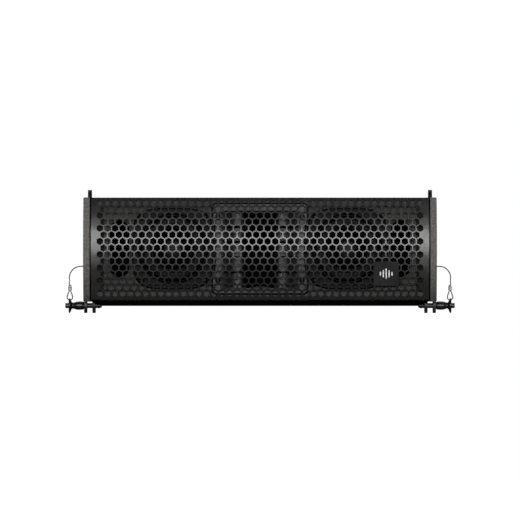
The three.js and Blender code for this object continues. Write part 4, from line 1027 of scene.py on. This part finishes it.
# where each wire leaves the cabinet: behind and above the joint, and at x in the row frame
FRONT_EXIT = {"x": 221, "behind": 14.5, "above": 49.3}
REAR_EXIT = {"x": 18, "behind": -9.8, "above": 38}
FRONT_ROUTE = [
    *[(x, FRONT_EXIT["behind"], FRONT_EXIT["above"]) for x in (1.9, 6, 10)],
    (14.4, 14.8, 49), (18.4, 16, 47.8), (22, 17.8, 45.2), (24.7, 19, 41.6), (26, 18.4, 37.4),
    (26, 15.4, 33.6), (MAIN_X, 10.2, 31), (MAIN_X, 4.6, 29.6), (MAIN_X, 1.1, 27.8), *LOOP_ROUTE,
]
REAR_ROUTE = [
    *[(x, REAR_EXIT["behind"] + y, z) for x, y, z in (
        (18, -1.6, 38), (18, 1.4, 38), (18, 5, 37.9), (18.3, 9.4, 37), (19.6, 12.9, 34.5),
        (22, 13.4, 31.4), (24.4, 12.4, 28.6),
    )],
    *LOOP_ROUTE,
]
# the collar that the wire comes out of on the cheek, as (radius, along)
WIRE_STOP = [(0.85, -2), (2.2, -2), (2.2, 2.5), (1.9, 2.9), (0.85, 2.9)]
# the pin and its button as (radius, along)
PIN = [
    (0.01, -14.9), (1.6, -14.9), (2.3, -14.5), (3.0, -13.2), (3.175, -12.6), (3.175, 7.5),
    (4.4, 7.5), (4.7, 7.7), (4.95, 8.4), (5.1, 9.3), (5.25, 11), (5.32, 13), (5.3, 15),
    (5.1, 16.6), (4.7, 18.2), (4.2, 19.7), (3.85, 20.8), (3.8, 21.6), (4.1, 22.3), (4.9, 22.9),
    (6.5, 23.5), (8.5, 24.4), (9.0, 24.9), (9.1, 25.3), (9.1, 26.1), (8.8, 26.5), (3.9, 26.5),
    (3.5, 26.2), (3.5, 22.4), (1.65, 22.4), (1.65, 19.3), (0.01, 19.3),
]
SHANK_END = 7.4  # just short of the grip
BUTTON = [
    (0.01, 22.6), (1.45, 22.6), (1.45, 25.9), (3.1, 25.9), (3.25, 26.1), (3.25, 30.2),
    (2.9, 30.65), (2.3, 30.8), (1.9, 30.5), (0.01, 30.4),
]
BALL = {"radius": 1.1, "along": -11.2, "out": 2.6}


def between(first, second, start, end, t):
    """The point at t on the line that is at first at start and at second at end."""
    return first * ((end - t) / (end - start)) + second * ((t - start) / (end - start))


def smooth_line(points, spacing=0.45):
    """A centripetal Catmull-Rom curve through the points, sampled about every spacing."""
    p = [Vector(q) for q in points]
    p = [2 * p[0] - p[1], *p, 2 * p[-1] - p[-2]]
    line = [p[1]]
    for a, b, c, d in zip(p, p[1:], p[2:], p[3:]):
        t0, t1 = 0.0, math.sqrt((b - a).length)
        t2 = t1 + math.sqrt((c - b).length)
        t3 = t2 + math.sqrt((d - c).length)
        steps = max(2, round((c - b).length / spacing))
        for i in range(1, steps + 1):
            t = t1 + (t2 - t1) * i / steps
            ab, bc, cd = between(a, b, t0, t1, t), between(b, c, t1, t2, t), between(c, d, t2, t3, t)
            abc, bcd = between(ab, bc, t0, t2, t), between(bc, cd, t1, t3, t)
            line.append(between(abc, bcd, t1, t2, t))
    return line


def lanyard(end, centre, side, route):
    """Six wires laid round a core, crimped in a sleeve and looped through the pin's flange."""
    x, y, z = centre
    line = [Vector((x + side * q.x, y + q.y, z + q.z)) for q in smooth_line(route)]

    def laid(i):
        section = []
        for k in range(24):
            angle = math.pi * k / 12
            radius = WIRE_RADIUS - WIRE_GROOVE * (1 - abs(math.cos(3 * angle)))
            turned = angle + i * WIRE_LAY * side
            section.append((radius * math.cos(turned), radius * math.sin(turned)))
        return section

    wire = Solid().tube(line, laid).finish(f"wire_{end}", None, "wire_rope", [f"lanyard_wire_{end}"])
    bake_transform(wire)

    def place(u, v, rise):
        return (x + side * (FERRULE["x"] + u), y + v, z + FERRULE["low"] + rise)

    def stadium(radius):
        half = FERRULE["spacing"] / 2
        turns = [math.pi * i / 8 for i in range(9)]
        right = [(half + radius * math.sin(a), -radius * math.cos(a)) for a in turns]
        return right + [(-u, -v) for u, v in right]

    sleeve = Solid()
    sleeve.skin([sleeve.loop([place(u, v, rise) for u, v in stadium(radius)])
                 for radius, rise in CRIMPED], closed=True)
    body = f"quick_pin_{end}"
    crimp = sleeve.finish(f"ferrule_{end}", body, "ferrule_aluminium", [f"lanyard_ferrule_{end}"])
    path = [tuple(q * MM) for q in line]
    length = sum((b - a).length for a, b in zip(line, line[1:])) * MM
    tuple(path[0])


def quick_pin(end, centre, side):
    """A turned pin with a bulged grip, a thin flange, a push button and two locking balls."""
    place = outward(*centre, side)
    body = f"quick_pin_{end}"
    made = Solid().turn(PIN, place, 48).finish(body, body, "pin_black", [f"pin_{end}"])
    other_finish(made, "pin_shank", lambda middle, normal: side * (middle.x - centre[0]) < SHANK_END)
    button = Solid().turn(BUTTON, place, 40)
    button.finish(f"push_button_{end}", f"button_{end}", "pin_button_steel", [f"pin_button_{end}"])
    angles = [math.pi * i / 8 for i in range(9)]
    half_round = [(max(0.01, BALL["radius"] * math.sin(a)), -BALL["radius"] * math.cos(a)) for a in angles]
    balls = Solid()
    for way in (-1, 1):
        def upward(u, v, along):
            return place(v, way * (BALL["out"] + along), BALL["along"] + u)

        balls.turn(half_round, upward, 16)
    balls.finish(f"locking_balls_{end}", body, "pin_button_steel")


def pins():
    for end, side in (("left", -1), ("right", 1)):
        centre = (side * FRONT_PIN[0], *FRONT_PIN[1:])
        quick_pin(end, centre, side)
        y, z = centre[1] + FRONT_EXIT["behind"], centre[2] + FRONT_EXIT["above"]
        lanyard(end, centre, side, FRONT_ROUTE)
        collar = Solid().turn(WIRE_STOP, outward(centre[0], y, z, side), 24, closed=True)
        collar.finish(f"lanyard_stop_{end}", "cabinet", "ferrule_aluminium")
    quick_pin("rear", REAR_PIN, 1)
    y, z = REAR_PIN[1] + REAR_EXIT["behind"], REAR_PIN[2] + REAR_EXIT["above"]
    lanyard("rear", REAR_PIN, 1, REAR_ROUTE)


rigging()
inputs()
pins()


# ---------------- what stays as the CAD has it
def dress_frame():
    """Every CAD node takes a finish, whether or not a detailed piece stands for it."""
    slots = {part["node"]: part["material_slot"] for part in frame["record"]["subparts"]}
    # the CAD baffle takes the same darker paint, as painted shade
    slots["baffle"] = "shaded_baffle_paint"
    for name, node in frame["nodes"].items():
        node.data.materials.clear()
        node.data.materials.append(FINISHES[slots[name]])


dress_frame()


# ---------------- studio
# Metres: a square floor, and a round wall past it whose foot curves up.
FLOOR = {"z": -0.25, "half": 9}
WALL = {"inner": 9, "radius": 13, "foot": 2, "height": 9, "below_floor": 0.02}


def softbox(name, at, size, power):
    """A rectangular light aimed at the speaker, out of the camera's sight."""
    data = bpy.data.lights.new(name, "AREA")
    data.shape = "RECTANGLE"
    data.size, data.size_y = size
    data.energy = power
    light = add_object(name, data)
    light.location = at
    light.rotation_euler = (AIM - Vector(at)).to_track_quat("-Z", "Y").to_euler()
    light.visible_camera = False


def round_wall(material):
    """The backdrop beyond the floor, on every side. Only the camera sees it."""
    foot, low = WALL["foot"], FLOOR["z"] - WALL["below_floor"]
    foot_from = WALL["radius"] - foot
    profile = [(WALL["inner"], 0), (foot_from, 0)]
    for i in range(1, 13):
        angle = math.pi / 2 * i / 12
        profile.append((foot_from + foot * math.sin(angle), foot - foot * math.cos(angle)))
    profile.append((WALL["radius"], WALL["height"]))
    bm = bmesh.new()
    rings = [[bm.verts.new((u, v, low + z)) for u, v in circle(radius, 72)] for radius, z in profile]
    for first, second in zip(rings, rings[1:]):
        for i, vert in enumerate(first):
            bm.faces.new((first[i - 1], second[i - 1], second[i], vert)).smooth = True
    mesh = bpy.data.meshes.new("round_wall")
    bm.to_mesh(mesh)
    bm.free()
    mesh.materials.append(material)
    wall = add_object("round_wall", mesh)
    wall.visible_glossy = wall.visible_diffuse = wall.visible_shadow = False


def studio():
    """A pale floor and wall, with the lights aimed at the speaker."""
    white = Finish("sweep", roughness=0.9)
    white.color(white.ramp(white.noise(400, 2), (0.3, grey(0.86)), (0.7, grey(0.9))))
    white.shader.inputs["Emission Color"].default_value = (1, 1, 1, 1)
    white.shader.inputs["Emission Strength"].default_value = 0.95
    half = FLOOR["half"]
    corners = [(-half, -half), (half, -half), (half, half), (-half, half)]
    mesh = bpy.data.meshes.new("floor")
    mesh.from_pydata([(x, y, FLOOR["z"]) for x, y in corners], [], [(0, 1, 2, 3)])
    mesh.materials.append(white.material)
    floor = add_object("floor", mesh)
    floor.visible_glossy = floor.visible_diffuse = False
    round_wall(white.material)

    world = bpy.data.worlds.new("studio")
    world.use_nodes = True
    background = world.node_tree.nodes["Background"]
    background.inputs["Color"].default_value = (1, 1, 1, 1)
    background.inputs["Strength"].default_value = 0.055
    bpy.context.scene.world = world
    bpy.context.scene.view_settings.view_transform = "Standard"

    softbox("key", (0, -2.7, 0.50), (2.6, 0.58), 68)
    softbox("above", (0, 0.9, 2.0), (2.2, 1.2), 22)
    softbox("behind", (-1.2, 2.4, 1.2), (1.8, 1.2), 30)
    softbox("left_side", (-2.4, 0.5, 0.7), (1.2, 1.0), 14)
    softbox("right_side", (2.4, 0.5, 0.7), (1.2, 1.0), 14)


studio()
